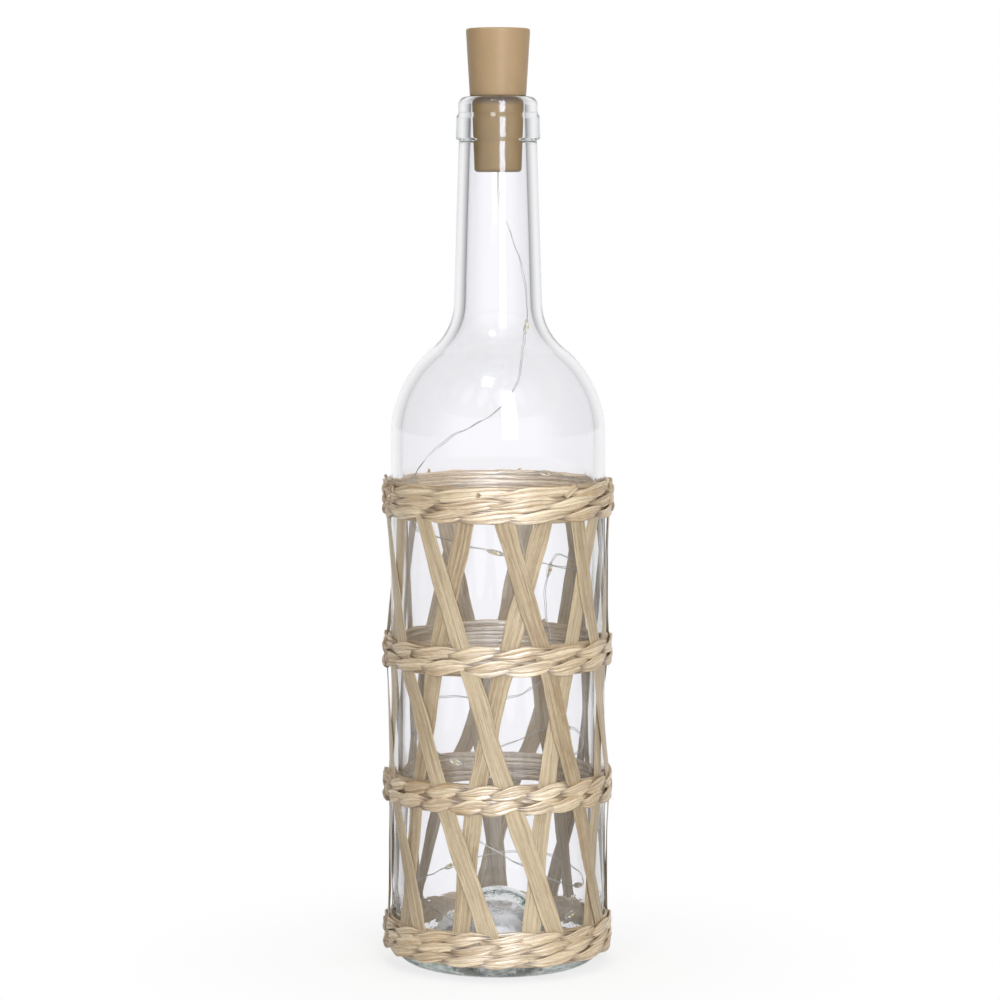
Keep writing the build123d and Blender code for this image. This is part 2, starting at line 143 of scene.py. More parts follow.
# One mesh object from several grids: points, faces and UVs are stacked, and doubled points at poles are merged.
def makePiece(name, parts, material):
    starts = np.cumsum([0] + [len(part["points"]) for part in parts])
    mesh = bpy.data.meshes.new(name)
    points = np.concatenate([part["points"] for part in parts])
    faces = np.concatenate([part["faces"] + start for part, start in zip(parts, starts)])
    mesh.from_pydata(points.tolist(), [], faces.tolist())
    mesh.uv_layers.new(name="lengthMap").data.foreach_set(
        "uv", np.concatenate([part["uv"] for part in parts]).astype(np.float32).ravel()
    )
    for key in parts[0]["values"]:
        value = np.concatenate([part["values"][key] for part in parts]).astype(np.float32)
        mesh.attributes.new(key, "FLOAT", "POINT").data.foreach_set("value", value)
    welded = bmesh.new()
    welded.from_mesh(mesh)
    bmesh.ops.remove_doubles(welded, verts=welded.verts, dist=1e-7)
    welded.to_mesh(mesh)
    welded.free()
    mesh.shade_smooth()
    mesh.materials.append(material)
    piece = bpy.data.objects.new(name, mesh)
    scene.collection.objects.link(piece)
    print(name, len(mesh.vertices), "points", len(mesh.polygons), "faces")
    return piece


# Inputs of a node: another node's output is linked, and a number, vector or colour is set as it is.
def setInputs(tree, node, inputs):
    for key, value in inputs.items():
        if isinstance(value, bpy.types.NodeSocket):
            tree.links.new(value, node.inputs[key])
        else:
            node.inputs[key].default_value = value


# Node in a tree, with its settings and its inputs.
def addNode(tree, kind, inputs=None, **settings):
    node = tree.nodes.new(kind)
    for key, value in settings.items():
        setattr(node, key, value)
    setInputs(tree, node, inputs or {})
    return node


# Material with one Principled shader and plain values set on its own sockets.
def newMaterial(name, **sockets):
    material = bpy.data.materials.new(name)
    material.use_nodes = True
    tree = material.node_tree
    shader = tree.nodes["Principled BSDF"]
    setInputs(tree, shader, {socket.replace("_", " "): value for socket, value in sockets.items()})
    return material, tree, shader


# Result of a maths node.
def calc(tree, operation, *values):
    return addNode(tree, "ShaderNodeMath", dict(enumerate(values)), operation=operation).outputs[0]


# Blend of two colours ("RGBA") or two numbers ("FLOAT") by a factor from 0 to 1.
def blend(tree, kind, factor, low, high):
    inputs = {"Factor": factor, "A": low, "B": high}
    return addNode(tree, "ShaderNodeMix", inputs, data_type=kind, clamp_factor=True).outputs["Result"]


# Number carried from one range to another, and held at its ends.
def mapRange(tree, value, fromEnds, toEnds, **settings):
    ends = dict(zip(("From Min", "From Max", "To Min", "To Max"), (*fromEnds, *toEnds)))
    return addNode(tree, "ShaderNodeMapRange", {"Value": value, **ends}, **settings).outputs["Result"]


# Number that each point of a piece carries, by the attribute's name.
def attributeValue(tree, name):
    return addNode(tree, "ShaderNodeAttribute", attribute_name=name).outputs["Fac"]


# Place in the space of the object itself.
def objectPlace(tree):
    return addNode(tree, "ShaderNodeTexCoord").outputs["Object"]


# Stretched noise: the coordinates times a stretch, then soft noise of a few octaves.
def stretchedNoise(tree, source, stretch, detail, roughness=0.6):
    scaled = addNode(tree, "ShaderNodeVectorMath", {0: source, 1: stretch}, operation="MULTIPLY").outputs[0]
    inputs = {"Vector": scaled, "Scale": 1.0, "Detail": detail, "Roughness": roughness}
    return addNode(tree, "ShaderNodeTexNoise", inputs).outputs["Fac"]


# Sum of weighted values: start + each value's distance from its middle times its weight.
def weightedSum(tree, start, terms):
    total = start - sum(middle * weight for _, middle, weight in terms)
    for source, _, weight in terms:
        total = calc(tree, "MULTIPLY_ADD", source, weight, total)
    return total


# Crease lines: where a noise lies within a narrow band about its middle, 1 on the line and 0 off it.
def creaseMask(tree, noise, band):
    distance = calc(tree, "ABSOLUTE", calc(tree, "SUBTRACT", noise, 0.5))
    return mapRange(tree, distance, (0.0, band), (1.0, 0.0))


# Empty finish group with named inputs, which gives a colour, a roughness and a height.
def newFinish(name, inputs):
    group = bpy.data.node_groups.new(name, "ShaderNodeTree")
    results = {"Color": "Color", "Roughness": "Float", "Height": "Float"}
    for inOut, sockets in (("INPUT", inputs), ("OUTPUT", results)):
        for socket, kind in sockets.items():
            group.interface.new_socket(socket, in_out=inOut, socket_type="NodeSocket" + kind)
    return group, group.nodes.new("NodeGroupInput").outputs, group.nodes.new("NodeGroupOutput")


# Finish of a material: the group's colour and roughness go to the shader, and its height to a bump. Depth in metres.
def useFinish(tree, shader, group, inputs, strength, depth):
    finish = addNode(tree, "ShaderNodeGroup", inputs, node_tree=group).outputs
    bump = addNode(tree, "ShaderNodeBump", {"Strength": strength, "Distance": depth, "Height": finish["Height"]})
    setInputs(tree, shader, {
        "Base Color": finish["Color"], "Roughness": finish["Roughness"], "Normal": bump.outputs["Normal"],
    })


# Dried leaf: fine fibres, broader streaks and thin creases run along the piece, and each piece has its own tone.
# Painted shade browns the leaf along the creases and where it tucks under its neighbour, and the same mark browns
# the tips of cut ends.
def leafGroup():
    group, given, result = newFinish("driedLeaf", {
        "Coordinates": "Vector", "Tone": "Float", "ShadeAndBrownTips": "Float", "Pale": "Color", "Deep": "Color", "Brown": "Color",
    })
    coordinates = given["Coordinates"]
    fibre = stretchedNoise(group, coordinates, (60.0, 3400.0, 1.0), 3.0)
    streak = stretchedNoise(group, coordinates, (26.0, 900.0, 1.0), 3.0)
    blotch = stretchedNoise(group, coordinates, (90.0, 130.0, 1.0), 2.0)
    dash = stretchedNoise(group, coordinates, (420.0, 2600.0, 1.0), 1.0)
    crease = creaseMask(group, stretchedNoise(group, coordinates, (15.0, 560.0, 1.0), 1.0), 0.045)
    paleness = weightedSum(group, 0.57, [
        (given["Tone"], 0.5, 0.9), (streak, 0.5, 1.7), (fibre, 0.5, 1.9), (blotch, 0.5, 0.8), (dash, 0.5, 0.9),
    ])
    leaf = blend(group, "RGBA", paleness, given["Deep"], given["Pale"])
    # Painted shade: along the creases and where the leaf tucks under its neighbour, the colour goes towards the
    # brown; the same mark browns the tips of cut ends.
    darkness = weightedSum(group, 0.0, [(given["ShadeAndBrownTips"], 0.0, 1.0), (crease, 0.0, 0.35)])
    setInputs(group, result, {
        "Color": blend(group, "RGBA", darkness, leaf, given["Brown"]),
        "Roughness": weightedSum(group, 0.40, [(streak, 0.5, -0.35), (fibre, 0.5, 0.3), (crease, 0.0, 0.15)]),
        "Height": weightedSum(group, 0.5, [
            (streak, 0.5, 0.8), (fibre, 0.5, 1.0), (crease, 0.0, -0.6), (dash, 0.5, 0.3),
        ]),
    })
    return group


leafFinish = leafGroup()


# Leaf material: the leaf group read along the piece's own UV map, with its tone attribute and its attribute of
# painted shade and brown tips.
def leafMaterial(name, pale, deep, brown):
    material, tree, shader = newMaterial(name, Specular_IOR_Level=1.0, Coat_Weight=0.6, Coat_Roughness=0.42)
    useFinish(tree, shader, leafFinish, {
        "Coordinates": addNode(tree, "ShaderNodeUVMap", uv_map="lengthMap").outputs["UV"],
        "Tone": attributeValue(tree, "tone"), "ShadeAndBrownTips": attributeValue(tree, "tuck"),
        "Pale": (*pale, 1.0), "Deep": (*deep, 1.0), "Brown": (*brown, 1.0),
    }, strength=0.8, depth=0.00025)
    return material


# Moulded or drawn surface: a fine grain and a soft mottle in object space shift colour, roughness and height.
def grainGroup():
    group, given, result = newFinish(
        "fineGrain", {"Coordinates": "Vector", "Light": "Color", "Dark": "Color", "Mean Roughness": "Float"}
    )
    grain = stretchedNoise(group, given["Coordinates"], (2600.0, 2600.0, 2600.0), 2.0)
    mottle = stretchedNoise(group, given["Coordinates"], (240.0, 240.0, 240.0), 3.0)
    lightness = weightedSum(group, 0.5, [(mottle, 0.5, 1.4), (grain, 0.5, 0.7)])
    setInputs(group, result, {
        "Color": blend(group, "RGBA", lightness, given["Dark"], given["Light"]),
        "Roughness": weightedSum(group, 0.0, [
            (given["Mean Roughness"], 0.0, 1.0), (mottle, 0.5, 0.2), (grain, 0.5, 0.2),
        ]),
        "Height": weightedSum(group, 0.5, [(grain, 0.5, 0.8), (mottle, 0.5, 0.3)]),
    })
    return group


grainFinish = grainGroup()


# Plain finish with grain: two close shades, a mean roughness and a bump depth in metres.
def grainMaterial(name, light, dark, roughness, bumpDepth, **sockets):
    material, tree, shader = newMaterial(name, **sockets)
    useFinish(tree, shader, grainFinish, {
        "Coordinates": objectPlace(tree), "Light": (*light, 1.0), "Dark": (*dark, 1.0), "Mean Roughness": roughness,
    }, strength=0.5, depth=bumpDepth)
    return material


# Light string: the route of the wire from the board through the seal, then in loose turns down the bottle.
wireSettings = {
    "route": [  # millimetres
        (0.0, 0.0, 287.6), (0.0, 0.0, 276.5), (0.4, 0.2, 265.6), (4.9, 0.3, 256.5), (7.6, 0.0, 247.1),
        (10.3, 0.3, 237.7), (10.5, 0.5, 228.5), (9.2, 0.8, 219.0), (8.2, 1.4, 209.0), (4.6, 2.6, 199.5),
        (-2.5, 4.5, 192.5), (-11.5, 7.5, 188.0), (-20.5, 9.5, 183.0), (-27.5, 7.5, 176.0),
        (-30.8, -1.5, 170.5), (-28.6, -12.5, 167.0), (-20.6, -23.0, 165.0), (-8.0, -30.0, 163.5),
        (6.5, -30.5, 163.5), (20.4, -23.2, 164.6), (29.0, -10.8, 166.7), (30.4, 4.6, 169.0),
        (23.6, 19.2, 170.9), (11.2, 28.6, 171.7), (-3.2, 31.0, 169.9), (-16.6, 26.4, 165.9),
        (-26.8, 16.0, 161.7), (-31.0, 2.6, 157.9), (-28.8, -11.4, 155.1), (-20.4, -23.2, 152.7),
        (-7.6, -30.0, 149.9), (6.8, -30.4, 146.1), (19.4, -24.2, 142.7), (28.4, -13.2, 140.5),
        (31.0, 0.6, 140.1), (27.6, 13.4, 141.7), (20.6, 23.0, 142.9), (18.0, 25.2, 132.9),
        (17.2, 26.0, 122.9), (19.4, 24.4, 113.1), (20.4, 23.6, 103.1), (15.0, 27.2, 94.1),
        (3.8, 31.0, 88.3), (-9.5, 29.8, 89.5), (-22.0, 22.4, 91.5), (-30.4, 8.5, 88.5), (-30.8, -7.0, 84.0),
        (-21.4, -22.8, 77.9), (-6.6, -30.4, 72.5), (9.0, -29.6, 71.3), (21.8, -21.8, 73.9),
        (30.0, -8.6, 77.7), (30.0, 7.4, 81.1), (20.6, 23.0, 80.7), (7.4, 30.2, 73.9), (-8.0, 30.2, 67.9),
        (-22.0, 22.0, 66.0), (-30.2, 8.5, 67.0), (-31.0, -6.0, 65.5), (-25.0, -18.8, 60.0),
        (-14.0, -27.6, 52.5), (-1.0, -31.0, 45.0), (12.0, -28.4, 37.0), (23.5, -20.0, 30.5),
        (30.8, -6.5, 28.5), (29.0, 10.5, 31.0), (18.5, 24.8, 33.5), (3.5, 31.0, 33.5), (-11.5, 29.0, 30.5),
        (-23.5, 19.8, 27.5), (-30.6, 5.5, 27.0), (-29.0, -10.5, 28.0), (-20.5, -23.0, 21.5),
        (-8.0, -29.8, 16.5), (6.5, -29.6, 14.0), (19.5, -23.0, 16.5), (28.5, -10.5, 22.0),
    ],
    "length": 1.05,
    "diameter": 0.9 * mm,  # of the solid tube that the two strands stand for
    "strandRadius": 0.11 * mm,
    "strandOffset": 0.3 * mm,
    "kink": 0.3 * mm,  # how far each strand strays from the line
    "kinkStart": 30 * mm,  # where the kinks have grown to full size
    "twistLength": 60 * mm,
    "twistAxis": (0.80, -0.35, 0.48),
    "exit": (0.0, 0.0, 0.2780),
    "bendStart": (0.0, 0.0, 0.2425),  # below here the string stays in the bottle
    "bendEnd": (0.0, 0.0, 0.2780),
    "sides": 8,
    "seed": 3,
}
beadSettings = {
    "runs": {  # run of the route: how far along it
        6: 0.5, 14: 0.5, 22: 0.5, 30: 0.5, 36: 0.62, 42: 0.5, 47: 0.5, 52: 0.5, 57: 0.5, 63: 0.5, 68: 0.5, 75: 0.5,
    },
    "halfLength": 2.85 * mm,
    "radius": 1.0 * mm,
    "chipLift": 0.62 * mm,
    "chipHalf": (0.55 * mm, 0.32 * mm, 0.16 * mm),  # along the wire, across it, outwards
    "chipPower": 0.35,
    "belly": 0.12,  # how much fuller a drop is on the chip's side
    "rows": 19, "sides": 20, "mapStep": 0.3 * mm,  # of the UV map
}


# The wire's line: a NURBS curve of order 3 on the route's points, read back as points of a mesh with no bevel.
def splineLine(route):
    curve = bpy.data.curves.new("wireLine", "CURVE")
    curve.dimensions = "3D"
    curve.resolution_u = 12
    spline = curve.splines.new("NURBS")
    spline.points.add(len(route) - 1)
    spline.points.foreach_set("co", np.column_stack([route, np.ones(len(route))]).ravel())
    spline.order_u = 3
    spline.use_endpoint_u = True
    holder = bpy.data.objects.new("wireLine", curve)
    scene.collection.objects.link(holder)
    bpy.context.view_layer.update()
    mesh = bpy.data.meshes.new_from_object(holder)
    line = np.empty(len(mesh.vertices) * 3)
    mesh.vertices.foreach_get("co", line)
    bpy.data.objects.remove(holder)
    bpy.data.curves.remove(curve)
    bpy.data.meshes.remove(mesh)
    return line.reshape(-1, 3)


# Tube: circles of the given radius square to a line, which close to a point at both ends.
def tubePart(line, radius, sides, axis, **values):
    side, up = lineFrame(line, axis)
    angle = fullTurn(sides)
    width = np.full((len(line), 1), radius)
    width[[0, -1]] = 0
    points = sweepSection(line, side, width * np.cos(angle), up, width * np.sin(angle))
    return gridPart(points, lengthsAlong(line), np.linspace(0, 2 * np.pi * radius, sides + 1), **values)


# Wire pair: two tubes on either side of the line, whose sides turn slowly as the distance along it grows. Each strays
# a little by waves of its own, as thin wire keeps the kinks of its packing.
def makeWire(s, line, material):
    side, up = lineFrame(line, s["twistAxis"])
    distance = lengthsAlong(line)
    print("wire line", round(distance[-1], 4), "m")
    turn = (distance / s["twistLength"] * 2 * np.pi)[:, None]
    apart = s["strandOffset"] * (side * np.cos(turn) + up * np.sin(turn))
    rng = np.random.default_rng(s["seed"])
    share = distance / distance[-1] * 2 * np.pi
    kinks = s["kink"] * np.clip(distance / s["kinkStart"], 0, 1)[:, None]

    # Stray: waves of one set of counts to the side, and of another upwards.
    def stray(sideCounts, upCounts):
        return side * waver(share, sideCounts, rng)[:, None] + up * waver(share, upCounts, rng)[:, None]

    shared = stray((61, 83, 107), (53, 71, 97))
    strands = []
    for sign in (-1, 1):
        strand = line + sign * apart + kinks * (shared + 0.5 * stray((37, 59), (43, 67)))
        strands.append(tubePart(strand, s["strandRadius"], s["sides"], s["twistAxis"]))
    return makePiece("lightWire", strands, material)


# Lamp drops: an ellipsoid on the wire, slightly fuller on the chip's side, and a rounded pad for the chip, both as
# cos and sin of two angles; powers under 1 square the pad off.
def makeLamps(s, route, line, resin, phosphor):
    runs, shares = np.array(list(s["runs"])), np.array(list(s["runs"].values()))
    steps = route[runs + 1] - route[runs]
    places, ways = route[runs] + steps * shares[:, None], unit(steps)
    places = line[np.linalg.norm(line[None] - places[:, None], axis=2).argmin(1)]
    outwards = places * (1, 1, 0) + (0, -1e-5, 0)  # away from the axis, and to the front on it
    outwards = unit(outwards - ways * (outwards * ways).sum(1, keepdims=True))
    sideways = np.cross(ways, outwards)
    tall, around = np.linspace(-np.pi / 2, np.pi / 2, s["rows"])[:, None], fullTurn(s["sides"])[None]
    girth = s["radius"] * np.cos(tall) * (1 + s["belly"] * np.cos(around) * np.cos(tall))
    drop = np.stack(np.broadcast_arrays(
        s["halfLength"] * np.sin(tall), girth * np.sin(around), girth * np.cos(around)
    ), -1)
    half = s["chipHalf"]
    level, height = squarer(np.cos(tall), s["chipPower"]), squarer(np.sin(tall), s["chipPower"])
    ahead, aside = squarer(np.cos(around), s["chipPower"]), squarer(np.sin(around), s["chipPower"])
    pad = np.stack(np.broadcast_arrays(
        half[0] * level * ahead, half[1] * level * aside, half[2] * height + s["chipLift"]
    ), -1)
    measure = np.arange(s["sides"] + 1) * s["mapStep"]
    drops, pads = [], []
    for place, way, sideway, outward in zip(places, ways, sideways, outwards):
        turn = np.stack([way, sideway, outward])
        drops.append(gridPart(drop @ turn + place, measure, measure))
        pads.append(gridPart(pad @ turn + place, measure, measure))
    return makePiece("lampDrops", drops, resin), makePiece("lampPads", pads, phosphor)


wireMaterial = grainMaterial(
    "silverWire", (0.70, 0.675, 0.63), (0.55, 0.53, 0.49), 0.38, 0.00001, Metallic=1.0
)
resinMaterial = grainMaterial(
    "paleResin", (0.99, 0.975, 0.90), (0.97, 0.94, 0.82), 0.08, 0.00002, IOR=1.42, Transmission_Weight=0.88
)
phosphorMaterial = grainMaterial("yellowPhosphor", (0.88, 0.70, 0.16), (0.78, 0.56, 0.08), 0.5, 0.00002)

wireRoute = np.array(wireSettings["route"]) * mm
wireLine = splineLine(wireRoute)
lightWire = makeWire(wireSettings, wireLine, wireMaterial)
lampDrops, lampPads = makeLamps(beadSettings, wireRoute, wireLine, resinMaterial, phosphorMaterial)
beadNodes = [name for name in nodes if name.startswith("led_bead_")]
for piece, recordSlot, replaced in (
    (lightWire, "wire_metal", ["light_wire"]), (lampDrops, "bead_resin", beadNodes),
    (lampPads, "lamp_chip", ["led_chips"]),
):
    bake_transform(piece)
    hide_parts(*replaced)
print("light string laid")

# Glass bottle: one wall, worked out as a profile of radius and height that turns about the axis. Millimetres.
glassSettings = {
    "height": 304.2, "bodyRadius": 37.6, "wall": 3.9, "heel": 9.0, "innerHeel": 5.0,
    "puntHeight": 17.0, "puntBreadth": 11.0, "baseRim": 11.0,
    "domeHeight": 26.5, "domeRadius": 16.0, "domeSlope": 42.0,  # degrees
    "shoulderBase": 186.5, "shoulderRadius": 39.0, "shoulderFillet": 21.0,
    "neckFoot": 35.0, "boreFoot": 32.5,  # above the shoulder's base
    "neckBase": 15.7, "neckTop": 13.65, "collarRadius": 14.7, "collarHeight": 9.7,
    "collarBevel": 1.7, "lipRadius": 13.8, "lipHeight": 5.7, "mouthRadius": 9.3,
    "collarRound": 0.7, "lipRound": 2.8, "mouthRound": 0.8, "grooveRound": 0.5, "lipGrooveRound": 0.3,
    "waver": 0.09, "waverRadius": 30.0, "waverDrift": 0.011,  # how the inside strays from round: size, radius
    # from which it has its full size, and turn for each millimetre of height
    "frostHeight": 1.5,  # where the frosted underside ends on the heel
    "heelHeight": 9.0, "heelFade": 3.0,  # where the mottled heel ends, and over what height
    "steps": 224,
    "seed": 5,
}


# Points of a straight stretch, about as far apart as the spacing, without its last point.
def stretch(start, end, spacing=3.0):
    start, end = np.array(start), np.array(end)
    count = max(2, int(np.linalg.norm(end - start) / spacing) + 1)
    return start + (end - start) * np.linspace(0, 1, count, endpoint=False)[:, None]


# Arc about a centre: from one direction to another, turned evenly the short way.
def arc(centre, radius, start, end, count):
    first, last = np.arctan2(start[1], start[0]), np.arctan2(end[1], end[0])
    sweep = (last - first + np.pi) % (2 * np.pi) - np.pi
    angle = first + sweep * np.linspace(0, 1, count)
    return np.array(centre) + radius * np.stack([np.cos(angle), np.sin(angle)], -1)


# Rounded corner: the arc that touches both arms, its centre on their bisector at radius / sin of half the angle.
def roundCorner(before, corner, after, radius, count=7):
    before, corner, after = np.array(before), np.array(corner), np.array(after)
    a, b = unit(before - corner), unit(after - corner)
    half = np.arccos(np.clip(a @ b, -1, 1)) / 2
    centre = corner + unit(a + b) * radius / np.sin(half)
    cut = radius / np.tan(half)
    return arc(centre, radius, corner + a * cut - centre, corner + b * cut - centre, count)


# Hollow between shoulder and neck: the circle that touches the shoulder's arc from outside and the neck's line, from
# the distance to the arc's centre, which is the sum of both radii.
def shoulderHollow(centre, radius, low, high, fillet, count=14):
    centre, low = np.array(centre), np.array(low)
    rise = unit(np.array(high) - low)
    out = np.array([rise[1], -rise[0]])
    reach = low + out * fillet - centre
    lift = -reach @ rise + np.sqrt((reach @ rise) ** 2 - reach @ reach + (radius + fillet) ** 2)
    middle = low + out * fillet + rise * lift
    return middle, arc(middle, fillet, centre - middle, -out, count)


# Whole profile, from the punt's top out and up to the lip, and inside back down to the dome over the punt. The punt
# is a bell with a flat top: its height falls by exp(-(radius / breadth) ** 4).
def glassProfile(s):
    inner = s["bodyRadius"] - s["wall"]
    innerDome = s["domeRadius"]
    puntCentre = s["domeHeight"] - innerDome
    foot = s["bodyRadius"] - s["baseRim"]
    slope = np.radians(s["domeSlope"])
    domeSide = np.array([np.sin(slope), np.cos(slope)])
    innerCorner = puntCentre + innerDome / np.cos(slope) - inner * np.tan(slope)
    shoulder = np.array([s["bodyRadius"] - s["shoulderRadius"], s["shoulderBase"]])
    lipBase = s["height"] - s["lipHeight"]
    collarBase = lipBase - s["collarHeight"]
    neckLow = [s["neckBase"], s["shoulderBase"] + s["neckFoot"]]
    neckHigh, neckEnd = [s["neckTop"], collarBase], [s["neckTop"] + 0.02, collarBase - 0.7]
    boreLow = [s["neckBase"] - s["wall"], s["shoulderBase"] + s["boreFoot"]]
    boreHigh = [s["mouthRadius"], s["height"]]
    outerHollow, hollow = shoulderHollow(shoulder, s["shoulderRadius"], neckLow, neckHigh, s["shoulderFillet"])
    innerFillet = s["shoulderFillet"] + s["wall"]
    innerShoulder = s["shoulderRadius"] - s["wall"]
    innerHollow, bore = shoulderHollow(shoulder, innerShoulder, boreLow, boreHigh, innerFillet)
    footPoint, heelPoint = [foot, 0], [s["bodyRadius"], 0]
    wallTop, innerTop = [s["bodyRadius"], s["shoulderBase"]], [inner, s["shoulderBase"]]
    puntReach = np.linspace(0, foot, 44, endpoint=False)
    punt = np.stack([puntReach, s["puntHeight"] * np.exp(-((puntReach / s["puntBreadth"]) ** 4))], -1)
    innerDomeEnd = np.array([0, puntCentre]) + innerDome * domeSide
    collarLow = [s["collarRadius"], collarBase + s["collarBevel"] / 2]
    collarHigh = [s["collarRadius"], lipBase - s["collarBevel"]]
    lipLow, lipHigh = [s["lipRadius"], lipBase], [s["lipRadius"], s["height"]]
    heel = roundCorner(footPoint, heelPoint, wallTop, s["heel"], 12)
    innerHeel = roundCorner(innerTop, [inner, innerCorner], innerDomeEnd, s["innerHeel"], 12)
    lipRound = roundCorner(lipLow, lipHigh, boreHigh, s["lipRound"], 8)
    mouthRound = roundCorner(lipHigh, boreHigh, boreLow, s["mouthRound"], 7)
    return np.concatenate([
        punt, heel[:-1], stretch(heel[-1], wallTop, 4.0),
        arc(shoulder, s["shoulderRadius"], [1, 0], outerHollow - shoulder, 30)[:-1],
        hollow[:-1], stretch(hollow[-1], neckEnd),
        roundCorner(neckLow, neckHigh, collarLow, s["grooveRound"], 5),
        roundCorner(neckHigh, collarLow, collarHigh, s["collarRound"]),
        roundCorner(collarLow, collarHigh, lipLow, s["collarRound"]),
        roundCorner(collarHigh, lipLow, lipHigh, s["lipGrooveRound"], 5),
        lipRound, mouthRound[:-1],
        stretch(mouthRound[-1], bore[-1]), bore[::-1][:-1],
        arc(shoulder, innerShoulder, innerHollow - shoulder, [1, 0], 30)[:-1],
        stretch(innerTop, innerHeel[0], 4.0), innerHeel[:-1],
        stretch(innerHeel[-1], innerDomeEnd),
        arc([0, puntCentre], innerDome, domeSide, [0, 1], 12),
    ])


# Surface of revolution: each profile point turned through a full circle; the inside strays from round a little, as
# blown glass does, by waves around it that drift with height.
def makeGlass(s, material):
    rng = np.random.default_rng(s["seed"])
    profile = glassProfile(s)
    mouth = int(np.argmax((profile[:, 1] > s["height"] - 1.0) & (profile[:, 0] < s["mouthRadius"] + 0.1)))
    inside = (np.arange(len(profile)) > mouth) * np.clip(profile[:, 0] / s["waverRadius"], 0, 1)
    angle = fullTurn(s["steps"])
    drift = waver(angle[None] + profile[:, 1:] * s["waverDrift"], (1, 2, 3, 5), rng)
    radius = profile[:, :1] + s["waver"] * inside[:, None] * drift
    points = ringPoints(radius, angle[None], profile[:, 1:]) * mm
    along = lengthsAlong(profile) * mm
    across = np.linspace(0, 2 * np.pi * s["bodyRadius"], s["steps"] + 1) * mm
    outside = np.arange(len(profile)) < mouth
    hollow = (profile[:, 0] < s["bodyRadius"] - s["baseRim"]) & (profile[:, 1] < s["domeHeight"])
    under = outside * np.clip(1 - np.where(hollow, 0, profile[:, 1]) / s["frostHeight"], 0, 1)
    heel = outside * ~hollow * np.clip((s["heelHeight"] - profile[:, 1]) / s["heelFade"], 0, 1)
    wall = gridPart(points, along, across, under=under[:, None], heel=heel[:, None])
    return makePiece("glassBottle", [wall], material)


# Clear glass: plain refraction with a faint green absorption on long paths. Slow ripples bend its surface a little,
# the thick base is uneven, its underside is frosted and stippled by the mould, and its heel is mottled with a dark
# grey green where light enters, partly the green of thick glass and partly painted shade.
def glassMaterial():
    material, tree, shader = newMaterial("clearGlass", IOR=1.5, Transmission_Weight=1.0)
    coordinates = objectPlace(tree)
    height = addNode(tree, "ShaderNodeSeparateXYZ", {0: coordinates}).outputs["Z"]
    grains = addNode(tree, "ShaderNodeTexVoronoi", {"Vector": coordinates, "Scale": 620.0}).outputs["Distance"]
    ripple = stretchedNoise(tree, coordinates, (55.0, 55.0, 24.0), 1.0)
    lumps = stretchedNoise(tree, coordinates, (330.0, 330.0, 330.0), 2.0)
    spots = stretchedNoise(tree, coordinates, (420.0, 420.0, 760.0), 4.0)
    under, heel = attributeValue(tree, "under"), attributeValue(tree, "heel")
    stippled = weightedSum(tree, 0.0, [(under, 0.0, 1.0), (heel, 0.0, 0.6)])
    base = mapRange(tree, height, (0.026, 0.029), (1.0, 0.0))
    raised = weightedSum(tree, 0.0, [
        (ripple, 0.5, 0.05), (calc(tree, "MULTIPLY", grains, stippled), 0.0, 0.2),
        (calc(tree, "MULTIPLY", lumps, base), 0.0, 0.25),
    ])
    bump = addNode(tree, "ShaderNodeBump", {"Strength": 0.6, "Distance": 0.0008, "Height": raised})
    leaving = addNode(tree, "ShaderNodeNewGeometry").outputs["Backfacing"]
    # Partly painted shade: the heel's faces where light enters mottle towards a dark grey green, partly the green of
    # thick glass and partly painted shade.
    mottle = calc(tree, "MULTIPLY", heel, weightedSum(tree, 0.85, [(spots, 0.5, 3.0)]))
    greenAndShadeTint = calc(tree, "MULTIPLY", mottle, calc(tree, "SUBTRACT", 1.0, leaving))
    setInputs(tree, shader, {
        "Base Color": blend(tree, "RGBA", greenAndShadeTint, (0.985, 0.979, 1.0, 1.0), (0.12, 0.165, 0.135, 1.0)),
        "Roughness": calc(tree, "MULTIPLY", under, 0.3),
        "Normal": bump.outputs["Normal"],
    })
    absorption = addNode(tree, "ShaderNodeVolumeAbsorption", {"Color": (0.40, 0.58, 0.48, 1.0), "Density": 4.0})
    setInputs(tree, tree.nodes["Material Output"], {"Volume": absorption.outputs[0]})
    return material


glassBottle = makeGlass(glassSettings, glassMaterial())
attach(glassBottle, "bottle")
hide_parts("glass_bottle")
print("glass blown")

